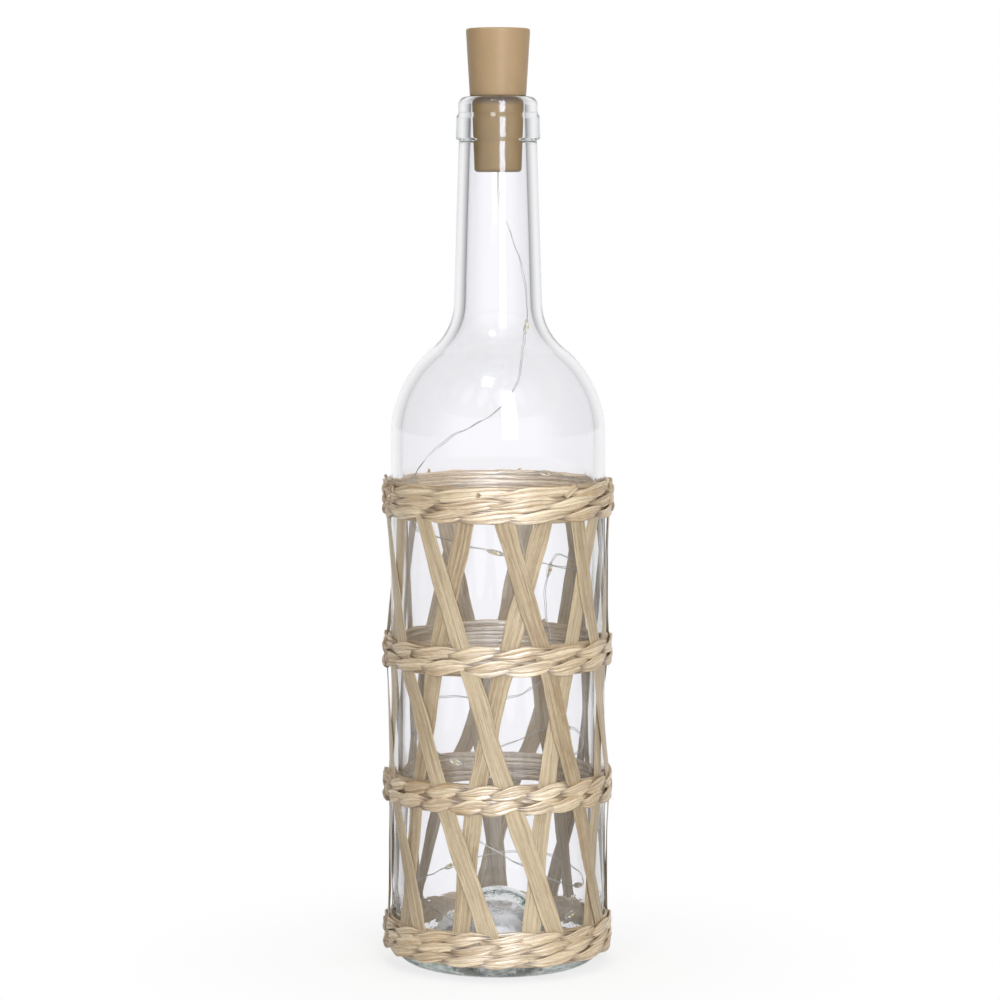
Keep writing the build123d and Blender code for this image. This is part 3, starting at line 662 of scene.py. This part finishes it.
# Flat leaf strips: angles in degrees from the front at five heights, for each strip of the two layers.
stripSettings = {
    "heights": (159.5, 113.5, 69.0, 60.0, 18.5),
    "left": {
        1: (2.8, 23.4, 41.7, 45.6, 64.5), 2: (44, 59.5, 78.1, 82.1, 101), 3: (83.2, 100.4, 120.4, 125, 147.3),
        4: (122.4, 139.3, 161.6, 172.1, 188.6), 5: (161.6, 176.8, 199.5, 212.4, 237.4),
        6: (200.8, 223.1, 247.2, 253.8, 276), 7: (-120, -96, -70.6, -65.8, -45),
        8: (-80, -56.5, -32.1, -27.3, -6.1), 9: (-41, -17.5, 3.1, 7.6, 29.5),
    },
    "right": {
        1: (24.5, 4.4, -10.1, -12.4, -19.6), 2: (59, 39.4, 25.9, 23.8, 17.5), 3: (92, 72, 64.4, 62.8, 55.2),
        4: (133.5, 115.8, 107.9, 104.5, 95), 5: (175, 159.6, 149, 142.6, 132.7),
        6: (216.5, 197.4, 188.9, 186.5, 179), 7: (258, 247.2, 243, 246, 240),
        8: (-60.5, -69, -78.1, -79.9, -88), 9: (-16.8, -32.8, -45.1, -47.3, -56.5),
    },
    "backs": {"left": 38.2, "right": 37.68},  # radius of the strip's back
    "base": 9.0, "top": 167.0,
    "braids": (165.0, 111.3, 63.6, 11.0), "lift": 0.8, "liftReach": 12.0,  # strips stand off at the braids
    "width": 6.6, "widthWaver": 0.13, "thickness": 0.42, "edgeThinning": 0.45,
    "angleWaver": 0.5, "radiusWaver": 0.06,  # degrees and millimetres
    "smoothing": 13, "straightEnds": (14.0, 164.0),  # rows that are averaged, and the heights that bound them
    "rows": 170, "sides": 18,
    "seed": 11,
}


# Strip: a thin flat section carried up a line on the bottle's round, which stands off by a bell curve about each
# braid. Its width wavers, its edges are thinner than its middle, and both ends close.
def stripPart(s, angles, back, rng):
    height = np.linspace(s["base"], s["top"], s["rows"])
    angle = np.interp(height, s["heights"][::-1], angles[::-1])
    slopes = np.diff(angles[::-1]) / np.diff(s["heights"][::-1])
    angle = np.where(height < s["heights"][-1], angles[-1] + (height - s["heights"][-1]) * slopes[0], angle)
    angle = np.where(height > s["heights"][0], angles[0] + (height - s["heights"][0]) * slopes[-1], angle)
    rows, (low, high) = s["smoothing"], s["straightEnds"]
    smooth = np.convolve(np.pad(angle, rows // 2, "edge"), np.ones(rows) / rows, "valid")
    angle = np.where((height < low) | (height > high), angle, smooth)
    share = np.linspace(0, 2 * np.pi, s["rows"])
    angle = np.radians(angle + s["angleWaver"] * waver(share, (2, 3, 5), rng))
    away = (height[:, None] - s["braids"]) / s["liftReach"]
    radius = back + s["thickness"] / 2 + s["lift"] * np.exp(-(away**2)).sum(1)
    middle = ringPoints(radius + s["radiusWaver"] * waver(share, (3, 4, 7), rng), angle, height)
    way = unit(np.gradient(middle, axis=0))
    outward = unit(ringPoints(1.0, angle, 0.0))
    aside = unit(np.cross(way, outward))
    turn = fullTurn(s["sides"])
    flatSide = squarer(np.cos(turn), 0.7)
    width = s["width"] / 2 * (1 + s["widthWaver"] * waver(share, (1, 2, 4, 7, 11), rng))
    thick = np.full(s["rows"], s["thickness"] / 2)
    width[[0, -1]] = thick[[0, -1]] = 0
    section = np.sin(turn) * (1 - s["edgeThinning"] * flatSide**4)
    points = sweepSection(middle, aside, width[:, None] * flatSide, outward, thick[:, None] * section)
    along = lengthsAlong(middle) * mm
    across = np.concatenate([flatSide, flatSide[:1]]) * s["width"] / 2 * mm
    start = rng.uniform(0, 5, 2)
    tone = rng.uniform(0.2, 0.75) + 0.3 * np.abs(flatSide) ** 6
    return gridPart(points * mm, along + start[0], across + start[1], tone=tone[None], tuck=0.0)


stripMaterial = leafMaterial("leafStrip", (0.60, 0.48, 0.305), (0.31, 0.21, 0.102), (0.20, 0.12, 0.055))
for layer in ("left", "right"):
    stripRng = np.random.default_rng(stripSettings["seed"] + (layer == "left"))
    for number, angles in stripSettings[layer].items():
        part = stripPart(stripSettings, angles, stripSettings["backs"][layer], stripRng)
        strip = makePiece(f"{layer}Strip{number}", [part], stripMaterial)
        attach(strip, "bottle")
        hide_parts(f"{layer}_strip_{number}")
print("strips wound")

# Braids: rows of two leaf strands that wind about each other round the bottle. Heights and sizes in millimetres.
braidSettings = {
    "rows": {  # piece: node, then (turns of a strand in one round, middle height, half height) of each row in it
        "topBraidUpper": ("top_braid_upper", [(5, 168.7, 2.5), (6, 164.8, 2.5)]),
        "topBraidLower": ("top_braid_lower", [(7, 161.0, 2.5)]),
        "secondBraidUpper": ("second_braid_upper", [(8, 113.7, 2.9)]),
        "secondBraidLower": ("second_braid_lower", [(8, 108.9, 2.9)]),
        "thirdBraidUpper": ("third_braid_upper", [(10, 65.9, 2.8)]),
        "thirdBraidLower": ("third_braid_lower", [(10, 61.2, 2.8)]),
        "bottomBraidUpper": ("bottom_braid_upper", [(9, 14.9, 2.5)]),
        "bottomBraidLower": ("bottom_braid_lower", [(9, 11.2, 2.4), (8, 7.7, 2.4)]),
    },
    "radius": 39.1,
    "swing": 0.42,  # in and out
    "climb": 0.85,  # up and down
    "ribbons": 3,  # in one strand
    "thickness": 0.42,  # half of a ribbon's
    "crown": 0.3,  # how far the middle ribbons stand proud
    "tilt": 16.0,  # degrees
    "sag": 0.35,
    "waves": {  # how far each of these strays
        "winding": 0.6, "tilt": 0.15, "fullness": 0.14, "place": 0.13, "roll": 0.35, "breadth": 0.10, "lift": 0.10,
        "coreHeight": 0.08, "coreBreadth": 0.15,
    },
    "coreRadius": 38.25, "coreThickness": 0.6,
    "corePlaces": (-0.6, 0.0, 0.6), "coreBreadth": 0.45,  # shares of the row's half height
    "steps": 400,
    "sides": 12,
    "seed": 23,
}


# Angles of the steps round a row, from the back.
def roundAngles(s):
    return np.pi + fullTurn(s["steps"])


# Lengths of a closed row for its UV map: both ends of each step round it, and the way round its section.
def rowLengths(s, radius, half):
    steps = np.arange(s["steps"])
    cells = np.stack([steps, steps + 1], -1) * (2 * np.pi * radius / s["steps"] * mm)
    return cells, np.linspace(0, 2 * half, s["sides"] + 1) * mm


# Core of a row: flat leaf ribbons that run round the bottle behind the strands, one above the other, and fill the
# gaps between them. Each is an oval section on a circle, whose height and breadth stray by waves of their own.
def coreParts(s, middle, half, sag, rng):
    angle = roundAngles(s)
    turn = fullTurn(s["sides"])
    outward = ringPoints(1.0, angle, 0.0)[:, None] * (s["coreThickness"] * np.sin(turn))[:, None]
    cells, across = rowLengths(s, s["coreRadius"], half)
    # Painted shade: the core ribbons are darkened a little all over, and more on their outer side, which shows in the
    # gaps between the strands.
    tuck = 0.12 + 0.35 * np.clip(np.sin(turn) + 0.2, 0, 1)
    waves = s["waves"]
    parts = []
    for place in s["corePlaces"]:
        height = middle + sag + half * (place + waves["coreHeight"] * waver(angle, (3, 7, 11), rng))
        breadth = half * s["coreBreadth"] * (1 + waves["coreBreadth"] * waver(angle, (5, 9, 13), rng))
        points = ringPoints(s["coreRadius"], angle, height)[:, None] + outward
        points[..., 2] += breadth[:, None] * np.cos(turn)
        parts.append(gridPart(
            points * mm, cells + rng.uniform(0, 9), across + rng.uniform(0, 5), closedRows=True,
            tone=rng.uniform(0.2, 0.7), tuck=tuck[None],
        ))
    return parts


# Strand of a row: its middle swings out by the cosine and up by the sine of a winding angle that grows round the
# bottle. It is a bundle of leaf ribbons side by side, broad in front and narrow where it passes under the other
# strand. A ribbon is a flat oval section that rolls and strays by waves of its own, and the middle ones stand proud.
# Tone and grain change where the strand is hidden, once a turn.
def strandParts(s, twists, middle, half, start, sag, rng):
    angle, waves = roundAngles(s), s["waves"]
    winding = twists * angle + start + waves["winding"] * waver(angle, (1, 2, 3), rng)
    swing, climb = np.cos(winding), np.sin(winding)
    centre = ringPoints(s["radius"] + s["swing"] * swing, angle, middle + sag + s["climb"] * climb)
    outward = ringPoints(1.0, angle, 0.0)
    upward = np.array([0.0, 0.0, 1.0])
    tilt = waves["tilt"] * waver(angle, (3, 5, 9), rng) - np.radians(s["tilt"]) * (0.25 + 0.75 * climb**2)
    thin = outward * np.cos(tilt)[:, None] + upward * np.sin(tilt)[:, None]
    wide = -outward * np.sin(tilt)[:, None] + upward * np.cos(tilt)[:, None]
    fullness = 0.62 + 0.38 * swing + waves["fullness"] * waver(angle, (2, 5, 7, 11, 13, 17), rng)
    width = half * np.clip(fullness, 0.25, 1.15)
    turn = fullTurn(s["sides"])
    flatSide = squarer(np.cos(turn), 0.8)
    segment = np.floor((winding + np.pi) / (2 * np.pi)).astype(int) % twists
    segmentTone = rng.uniform(0.15, 0.85, twists)
    # Painted shade on the outer side, where the strand swings in and passes under the other one.
    tuck = np.clip(0.22 - 1.2 * swing, 0, 0.85)[:, None] * np.clip(np.sin(turn) + 0.2, 0, 1)
    cells, around = rowLengths(s, s["radius"], half)
    parts = []
    for ribbon in range(s["ribbons"]):
        place = (ribbon + 0.5) / s["ribbons"] * 2 - 1 + waves["place"] * waver(angle, (5, 7, 11, 13), rng)
        place = 0.78 * place
        roll = 0.5 * place + waves["roll"] * waver(angle, (4, 7, 10, 15), rng)
        breadth = width * (0.39 + waves["breadth"] * waver(angle, (3, 6, 8, 14), rng))
        depth = s["thickness"] * (0.75 + 0.25 * swing)
        lift = s["crown"] * (1 - 1.3 * place**2) + waves["lift"] * waver(angle, (6, 9, 12), rng)
        flat, deep = breadth[:, None] * flatSide, depth[:, None] * np.sin(turn)
        turned, rolled = np.cos(roll)[:, None], np.sin(roll)[:, None]
        acrossWide = (width * place)[:, None] + flat * turned - deep * rolled
        acrossThin = lift[:, None] + flat * rolled + deep * turned
        points = sweepSection(centre, wide, acrossWide, thin, acrossThin)
        tone = 0.5 * segmentTone[segment] + 0.5 * rng.uniform(0, 1, twists)[segment]
        along = cells + rng.uniform(0, 9, twists)[segment][:, None]
        across = around + rng.uniform(0, 5)
        parts.append(gridPart(points * mm, along, across, closedRows=True, tone=tone[:, None], tuck=tuck))
    return parts


braidMaterial = leafMaterial("leafBraid", (0.83, 0.685, 0.475), (0.415, 0.262, 0.115), (0.15, 0.082, 0.036))
braidRng = np.random.default_rng(braidSettings["seed"])
coreRng = np.random.default_rng(braidSettings["seed"] + 1)
leafPieces = []
for name, (node, rows) in braidSettings["rows"].items():
    strands = []
    for twists, middle, half in rows:
        sag = braidSettings["sag"] * waver(roundAngles(braidSettings), (1, 2, 3, 4), braidRng)
        start = braidRng.uniform(0, 2 * np.pi)
        for turn in (0, np.pi):
            strands += strandParts(braidSettings, twists, middle, half, start + turn, sag, braidRng)
        strands += coreParts(braidSettings, middle, half, sag, coreRng)
    braid = makePiece(name, strands, braidMaterial)
    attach(braid, "bottle")
    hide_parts(node)
    leafPieces.append(braid)
print("braids woven")

# Joints of the braids: knuckles where a strand turns back, cut leaf ends and loose fibres.
jointSettings = {
    "knuckles": [  # degrees from the front, height
        (-72, 169.6), (-79, 168.0), (-68, 166.4), (-77, 164.7), (-70, 162.4), (-80, 161.2), (74, 169.4), (81, 167.6),
        (76, 164.8), (83, 162.0), (-76, 114.6), (-82, 112.2), (-73, 109.8), (-80, 107.6), (-75, 67.0), (-82, 64.6),
        (-72, 62.2), (-79, 60.2), (-78, 15.6), (-84, 12.9), (-75, 10.4), (-80, 8.0), (172, 168.6), (178, 165.4),
        (176, 113.2), (170, 109.4), (168, 66.0), (174, 62.0), (182, 14.6), (188, 10.8),
    ],
    "ends": [  # degrees from the front, height, lean in degrees from the row
        (-12, 168.3, 52), (35, 169.4, 38), (-78, 170.0, 70), (-70, 169.0, 35), (-84, 166.5, 20), (63, 169.6, 48),
        (71, 170.1, 75), (83, 168.6, 110), (-80, 115.5, 60), (-72, 110.9, 150), (-85, 108.0, 30), (-79, 67.6, 65),
        (-70, 63.4, 165), (-84, 62.0, 20), (-82, 16.2, 50), (52, 15.8, 30), (110, 169.5, 45), (140, 169.2, 120),
        (165, 169.8, 60), (200, 169.0, 35), (228, 169.6, 130), (255, 169.3, 50), (150, 115.0, 60), (215, 67.2, 55),
    ],
    "radius": 39.7, "sink": 0.2,  # how far the pieces start inside it
    "reach": (0.05, 0.09),  # how far a knuckle stands out along the round, radians
    "rise": 2.6, "width": 2.5, "thickness": 0.85,
    "endLength": (3.5, 6.5), "endWidth": (2.0, 3.4), "endThickness": 0.3, "endLift": 1.1, "endDrop": 2.0,
    "rows": 32, "sides": 18,
    "fibres": 260, "fibreRadius": 0.035, "fibreLength": (3.0, 10.0), "fibreRows": 6, "fibreSides": 4,
    "fibreAxis": (0.1, 0.2, 1.0),
    "fibreHeights": (
        170.6, 170.2, 169.8, 166.8, 162.8, 158.9, 116.0, 111.2, 106.4, 68.3, 63.6, 58.8, 16.6, 13.0, 9.4,
    ),
    "seed": 31,
}


# Leaf section carried along a line on the braid: a flat oval with ridges, whose wide side lies square to the line and
# to the outward direction, and which closes at both ends.
def leafAlong(s, line, angle, width, thickness, tone, tuck, rng):
    aside, outward = lineFrame(line, ringPoints(1.0, angle, 0.0))
    turn = fullTurn(s["sides"])
    flatSide = squarer(np.cos(turn), 0.8)
    thick = np.full(s["rows"], thickness)
    width[[0, -1]] = thick[[0, -1]] = 0
    ridges = 1 + 0.3 * np.cos(3.2 * np.pi * flatSide + rng.uniform(0, 6))
    points = sweepSection(line, aside, width[:, None] * flatSide, outward, thick[:, None] * np.sin(turn) * ridges)
    along = lengthsAlong(line) * mm + rng.uniform(0, 9)
    across = np.linspace(0, 4 * width.max(), s["sides"] + 1) * mm + rng.uniform(0, 5)
    return gridPart(points * mm, along, across, tone=tone, tuck=tuck[:, None])


# Knuckle: half an oval where a strand turns back, so its height goes by the cosine and its reach round the bottle by
# the sine of one angle.
def knucklePart(s, angle, height, rng):
    sweep = np.linspace(-0.35, np.pi + 0.35, s["rows"])
    reach = rng.uniform(*s["reach"]) * np.sign(angle)
    turned = np.radians(angle) + reach * np.sin(sweep) + 0.01 * waver(sweep, (2, 3), rng)
    rise = s["rise"] / 2 * rng.uniform(0.7, 1.2)
    slant = rng.uniform(-0.8, 0.8) * np.sin(sweep)
    radius = s["radius"] - s["sink"] + 0.4 * np.sin(sweep)
    line = ringPoints(radius, turned, height + rise * np.cos(sweep) + slant)
    width = s["width"] / 2 * (0.8 + 0.2 * np.sin(sweep) + 0.15 * waver(sweep, (2, 4, 6), rng))
    # Painted shade at both ends of the knuckle, where it goes into the row.
    tuck = np.clip(0.4 - 0.6 * np.sin(sweep), 0, 0.6)
    return leafAlong(s, line, turned, width, s["thickness"], rng.uniform(0.0, 0.7), tuck, rng)


# Cut end: a short leaf that leaves the row at a lean, lifts off it by the square of its length and ends bluntly.
def endPart(s, angle, height, lean, rng):
    share = np.linspace(0, 1, s["rows"])
    length = rng.uniform(*s["endLength"]) * share
    lean = np.radians(lean)
    turned = np.radians(angle) + np.cos(lean) * length / s["radius"]
    bend = rng.uniform(-0.6, 0.6) * share**2
    lift = rng.uniform(0.3, 1.0) * s["endLift"] * share**2
    rise = np.sin(lean) * length - s["endDrop"]
    line = ringPoints(s["radius"] - s["sink"] + lift, turned, height + rise + bend)
    width = rng.uniform(*s["endWidth"]) / 2 * (1 - 0.25 * share)
    # Painted shade at the root, where the end leaves the row; the colour also goes towards brown at its tip.
    tuck = np.clip(0.4 - 2 * share, 0, 1) + np.clip(6 * share - 5.2, 0, 0.7)
    return leafAlong(s, line, turned, width, s["endThickness"], rng.uniform(0.1, 0.7), tuck, rng)


# Fibre: a hair that starts on a braid and bends away from it along a shallow parabola.
def fibrePart(s, rng):
    share = np.linspace(0, 1, s["fibreRows"])
    turned = rng.uniform(0, 2 * np.pi) + share * rng.choice([-1, 1]) * rng.uniform(*s["fibreLength"]) / s["radius"]
    height = rng.choice(s["fibreHeights"]) + share**2 * rng.uniform(-1.5, 2.5)
    line = ringPoints(s["radius"] + share**2 * rng.uniform(0.2, 1.6), turned, height)
    tone = rng.uniform(0.3, 0.9)
    return tubePart(line * mm, s["fibreRadius"] * mm, s["fibreSides"], s["fibreAxis"], tone=tone, tuck=0.0)


jointRng = np.random.default_rng(jointSettings["seed"])
jointParts = {
    "leafKnuckles": [knucklePart(jointSettings, *knuckle, jointRng) for knuckle in jointSettings["knuckles"]],
    "leafEnds": [endPart(jointSettings, *end, jointRng) for end in jointSettings["ends"]],
    "looseFibres": [fibrePart(jointSettings, jointRng) for _ in range(jointSettings["fibres"])],
}
for name, parts in jointParts.items():
    piece = makePiece(name, parts, braidMaterial)
    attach(piece, "bottle")
print("joints tucked")

# Finishes of the stopper's pieces, which keep their shapes.
finishSettings = {  # material: nodes, light and dark shade, roughness, bump depth in metres, metal
    # The plug's tan is the cap's tan darkened: painted shade for the dimmer light inside the neck.
    "shadedTanPlug": (["stopper_plug"], (0.295, 0.187, 0.064), (0.245, 0.152, 0.05), 0.45, 0.00004, 0.0),
    "tanCap": (["stopper_cap"], (0.40, 0.275, 0.15), (0.355, 0.24, 0.128), 0.42, 0.00004, 0.0),
    "brownKnob": (["switch_slider"], (0.30, 0.21, 0.11), (0.25, 0.17, 0.09), 0.5, 0.00003, 0.0),
    "blackCarrier": (["switch_carrier"], (0.035, 0.035, 0.036), (0.02, 0.02, 0.021), 0.5, 0.00003, 0.0),
    "greySeal": (["wire_seal"], (0.40, 0.38, 0.34), (0.34, 0.32, 0.29), 0.7, 0.00004, 0.0),
    "greenBoard": (["circuit_board"], (0.05, 0.20, 0.09), (0.03, 0.14, 0.06), 0.35, 0.00001, 0.0),
    "brightSolder": (["solder_joints"], (0.70, 0.70, 0.71), (0.55, 0.55, 0.56), 0.3, 0.00002, 1.0),
    "blackResistor": (["resistor"], (0.03, 0.03, 0.032), (0.02, 0.02, 0.02), 0.45, 0.00002, 0.0),
    "nickelContact": (
        ["spring_contact", "feed_strip", "battery_contact", "feed_contact", "switch_wiper"],
        (0.72, 0.70, 0.66), (0.60, 0.58, 0.54), 0.3, 0.00001, 1.0,
    ),
    "steelCell": (["cell_1", "cell_2", "cell_3"], (0.74, 0.74, 0.75), (0.62, 0.62, 0.63), 0.25, 0.00001, 1.0),
}
seamSettings = {  # heights in metres
    "low": 0.3010, "high": 0.3023, "seam": 0.3040, "edge": 0.0001, "dark": (0.03, 0.017, 0.01, 1.0),
}


# Shade in the seam: the plug's colour goes to a dark brown above a height, where the cap and the lip keep the light
# off, and is plain again from the seam up.
def shadeSeam(s, material):
    tree = material.node_tree
    shader = tree.nodes["Principled BSDF"]
    colour = shader.inputs["Base Color"].links[0].from_socket
    height = addNode(tree, "ShaderNodeSeparateXYZ", {0: objectPlace(tree)}).outputs["Z"]
    below = mapRange(tree, height, (s["low"], s["high"]), (1.0, 0.0))
    above = mapRange(tree, height, (s["seam"], s["seam"] + s["edge"]), (0.0, 1.0))
    plain = calc(tree, "MAXIMUM", below, above)
    setInputs(tree, shader, {"Base Color": blend(tree, "RGBA", plain, s["dark"], colour)})


for name, (finishedNodes, *finish, metal) in finishSettings.items():
    material = grainMaterial(name, *finish, Metallic=metal)
    for node in finishedNodes:
        nodes[node].data.materials.clear()
        nodes[node].data.materials.append(material)
shadeSeam(seamSettings, bpy.data.materials["shadedTanPlug"])
print("stopper finished")

# Studio: a white floor and surround, soft panels, and an even dome of light.
studioSettings = {
    "floorHalf": 8.0,
    "dome": 0.32,  # strength of the surround as light on the object
    "domeInside": (0.24, 1.7),  # the same for what lies behind glass: one wall, or more
    "room": (1.0, 1.0),  # what a mirrored ray finds instead of white: on the camera's side, and behind
    "roomSides": (0.05, 0.15),  # and to the left and the right
    "floorSides": (0.45, 0.55),  # the same on the floor
    "shadowShare": 0.30,  # how much of the floor's own shading shows beside the bottle
    "shadowReach": 0.16,
    "panels": {  # place, aim, width, height, watts, shown in reflections
        "keyPanel": ((0.28, -1.25, 0.80), (0, 0, 0.5), 0.36, 1.3, 12.0, True),
        "leftPanel": ((-0.85, -1.15, 0.5), (0, 0, 0.12), 0.8, 0.8, 1.9, False),
        "rightPanel": ((0.95, -0.9, 0.4), (0, 0, 0.12), 0.7, 0.8, 2.0, False),
        "topPanel": ((0.05, -0.1, 1.15), (0, 0, 0.2), 0.6, 0.6, 3.0, False),
        "backPanel": ((-0.15, 1.3, 0.6), (0, 0, 0.15), 0.9, 0.9, 4.0, False),
        "squarePanel": ((-0.22, -0.68, 1.32), (0, 0, 0.2), 0.24, 0.26, 1.6, True),
        "shinePanel": ((0.28, -1.25, 0.80), (0, 0, 0.5), 0.40, 1.3, 10.0, True),  # on the glass alone
        "glossPanel": ((0.05, -1.3, 0.42), (0, 0, 0.15), 0.5, 0.6, 32.0, True),  # in the braids' gloss alone
    },
    "coolPanels": {"shinePanel": (0.46, 0.62, 1.15), "glossPanel": (0.92, 0.98, 1.06)},  # the rest are white
}


# Masks of the kinds of ray: those that look at the surround (camera, glossy and transmitted, scattered by no matt
# surface), those that were mirrored on the way, those that come through glass, and those that crossed the bottle,
# past more faces of its walls than the number given.
def rayMasks(tree, crossedFaces=5.5):
    path = addNode(tree, "ShaderNodeLightPath").outputs
    seen = calc(tree, "MAXIMUM", path["Is Camera Ray"], path["Is Glossy Ray"])
    seen = calc(tree, "MAXIMUM", seen, path["Is Transmission Ray"])
    looking = calc(tree, "MULTIPLY", seen, calc(tree, "LESS_THAN", path["Diffuse Depth"], 0.5))
    mirrored = calc(tree, "GREATER_THAN", path["Glossy Depth"], 0.5)
    crossed = calc(tree, "GREATER_THAN", path["Transmission Depth"], crossedFaces)
    return looking, mirrored, path["Is Transmission Ray"], crossed


# What a mirrored ray finds, by its way: the room on the camera's side at low Y, the bright sweep behind at high Y,
# and between them dark sides, darker on the left than on the right.
def roomShade(tree, way, room, sides):
    front, behind = room
    level = addNode(tree, "ShaderNodeVectorMath", {0: way}, operation="NORMALIZE").outputs[0]
    parted = addNode(tree, "ShaderNodeSeparateXYZ", {0: level}).outputs
    dark = mapRange(tree, parted["X"], (-0.5, 0.5), sides)
    near = mapRange(tree, parted["Y"], (-0.7, -0.2), (front, dark))
    far = mapRange(tree, parted["Y"], (0.35, 0.95), (dark, behind))
    return calc(tree, "MAXIMUM", near, far)


# White world: the dome's strength as light, and plain white, or the room once mirrored, for the rays that look at it.
def makeWorld(s):
    world = bpy.data.worlds.new("whiteStudio")
    world.use_nodes = True
    scene.world = world
    tree = world.node_tree
    looking, mirrored, through, crossed = rayMasks(tree)
    way = addNode(tree, "ShaderNodeTexCoord").outputs["Generated"]
    light = blend(tree, "FLOAT", through, s["dome"], blend(tree, "FLOAT", crossed, *s["domeInside"]))
    shown = blend(tree, "FLOAT", mirrored, 1.0, roomShade(tree, way, s["room"], s["roomSides"]))
    strength = blend(tree, "FLOAT", looking, light, shown)
    setInputs(tree, tree.nodes["Background"], {"Color": (1.0, 1.0, 1.0, 1.0), "Strength": strength})


# Floor: a large level square, plain white to looking rays, with a share of its own shading left in beside the bottle
# that fades out with distance.
def makeFloor(s):
    half = s["floorHalf"]
    mesh = bpy.data.meshes.new("paleFloor")
    mesh.from_pydata([(-half, -half, 0), (half, -half, 0), (half, half, 0), (-half, half, 0)], [], [(0, 1, 2, 3)])
    floor = bpy.data.objects.new("paleFloor", mesh)
    scene.collection.objects.link(floor)
    material, tree, shader = newMaterial(
        "paleFloor", Base_Color=(0.9, 0.9, 0.9, 1.0), Roughness=0.9, Specular_IOR_Level=0.0
    )
    looking, mirrored = rayMasks(tree)[:2]
    place = objectPlace(tree)
    distance = addNode(tree, "ShaderNodeVectorMath", {0: place}, operation="LENGTH").outputs["Value"]
    shares = (1.0 - s["shadowShare"], 1.0)
    fade = mapRange(tree, distance, (0.0, s["shadowReach"]), shares, interpolation_type="SMOOTHSTEP")
    shown = blend(tree, "FLOAT", mirrored, 1.0, roomShade(tree, place, s["room"], s["floorSides"]))
    plain = addNode(tree, "ShaderNodeEmission", {"Strength": shown})
    share = calc(tree, "MULTIPLY", looking, fade)
    mixed = addNode(tree, "ShaderNodeMixShader", {"Fac": share, 1: shader.outputs[0], 2: plain.outputs[0]})
    setInputs(tree, tree.nodes["Material Output"], {"Surface": mixed.outputs[0]})
    mesh.materials.append(material)


# Named collection of pieces, for a panel's light to stop at or to fall on.
def collectPieces(name, pieces):
    collection = bpy.data.collections.new(name)
    for piece in pieces:
        collection.objects.link(piece)
    return collection


# Soft panel: a rectangular area lamp turned towards its aim, whose light falls through clear pieces.
def makePanel(blockers, name, place, aim, width, height, watts, mirrored):
    data = bpy.data.lights.new(name, "AREA")
    data.shape = "RECTANGLE"
    data.size, data.size_y = width, height
    data.energy = watts
    lamp = addAimed(name, data, place, aim)
    lamp.visible_glossy = mirrored
    lamp.visible_transmission = False
    lamp.light_linking.blocker_collection = blockers
    return lamp


makeWorld(studioSettings)
makeFloor(studioSettings)
clearPieces = (glassBottle, lampDrops)
panelBlockers = collectPieces(
    "panelBlockers", [item for item in scene.objects if item.type == "MESH" and item not in clearPieces]
)
panelReceivers = {"shinePanel": [glassBottle], "glossPanel": leafPieces}
for name, panel in studioSettings["panels"].items():
    lamp = makePanel(panelBlockers, name, *panel)
    lamp.data.color = studioSettings["coolPanels"].get(name, (1.0, 1.0, 1.0))
    if name in panelReceivers:
        lamp.light_linking.receiver_collection = collectPieces(name + "Receivers", panelReceivers[name])
    lamp.visible_diffuse = name != "glossPanel"
scene.view_settings.view_transform = "Standard"
print("studio lit")
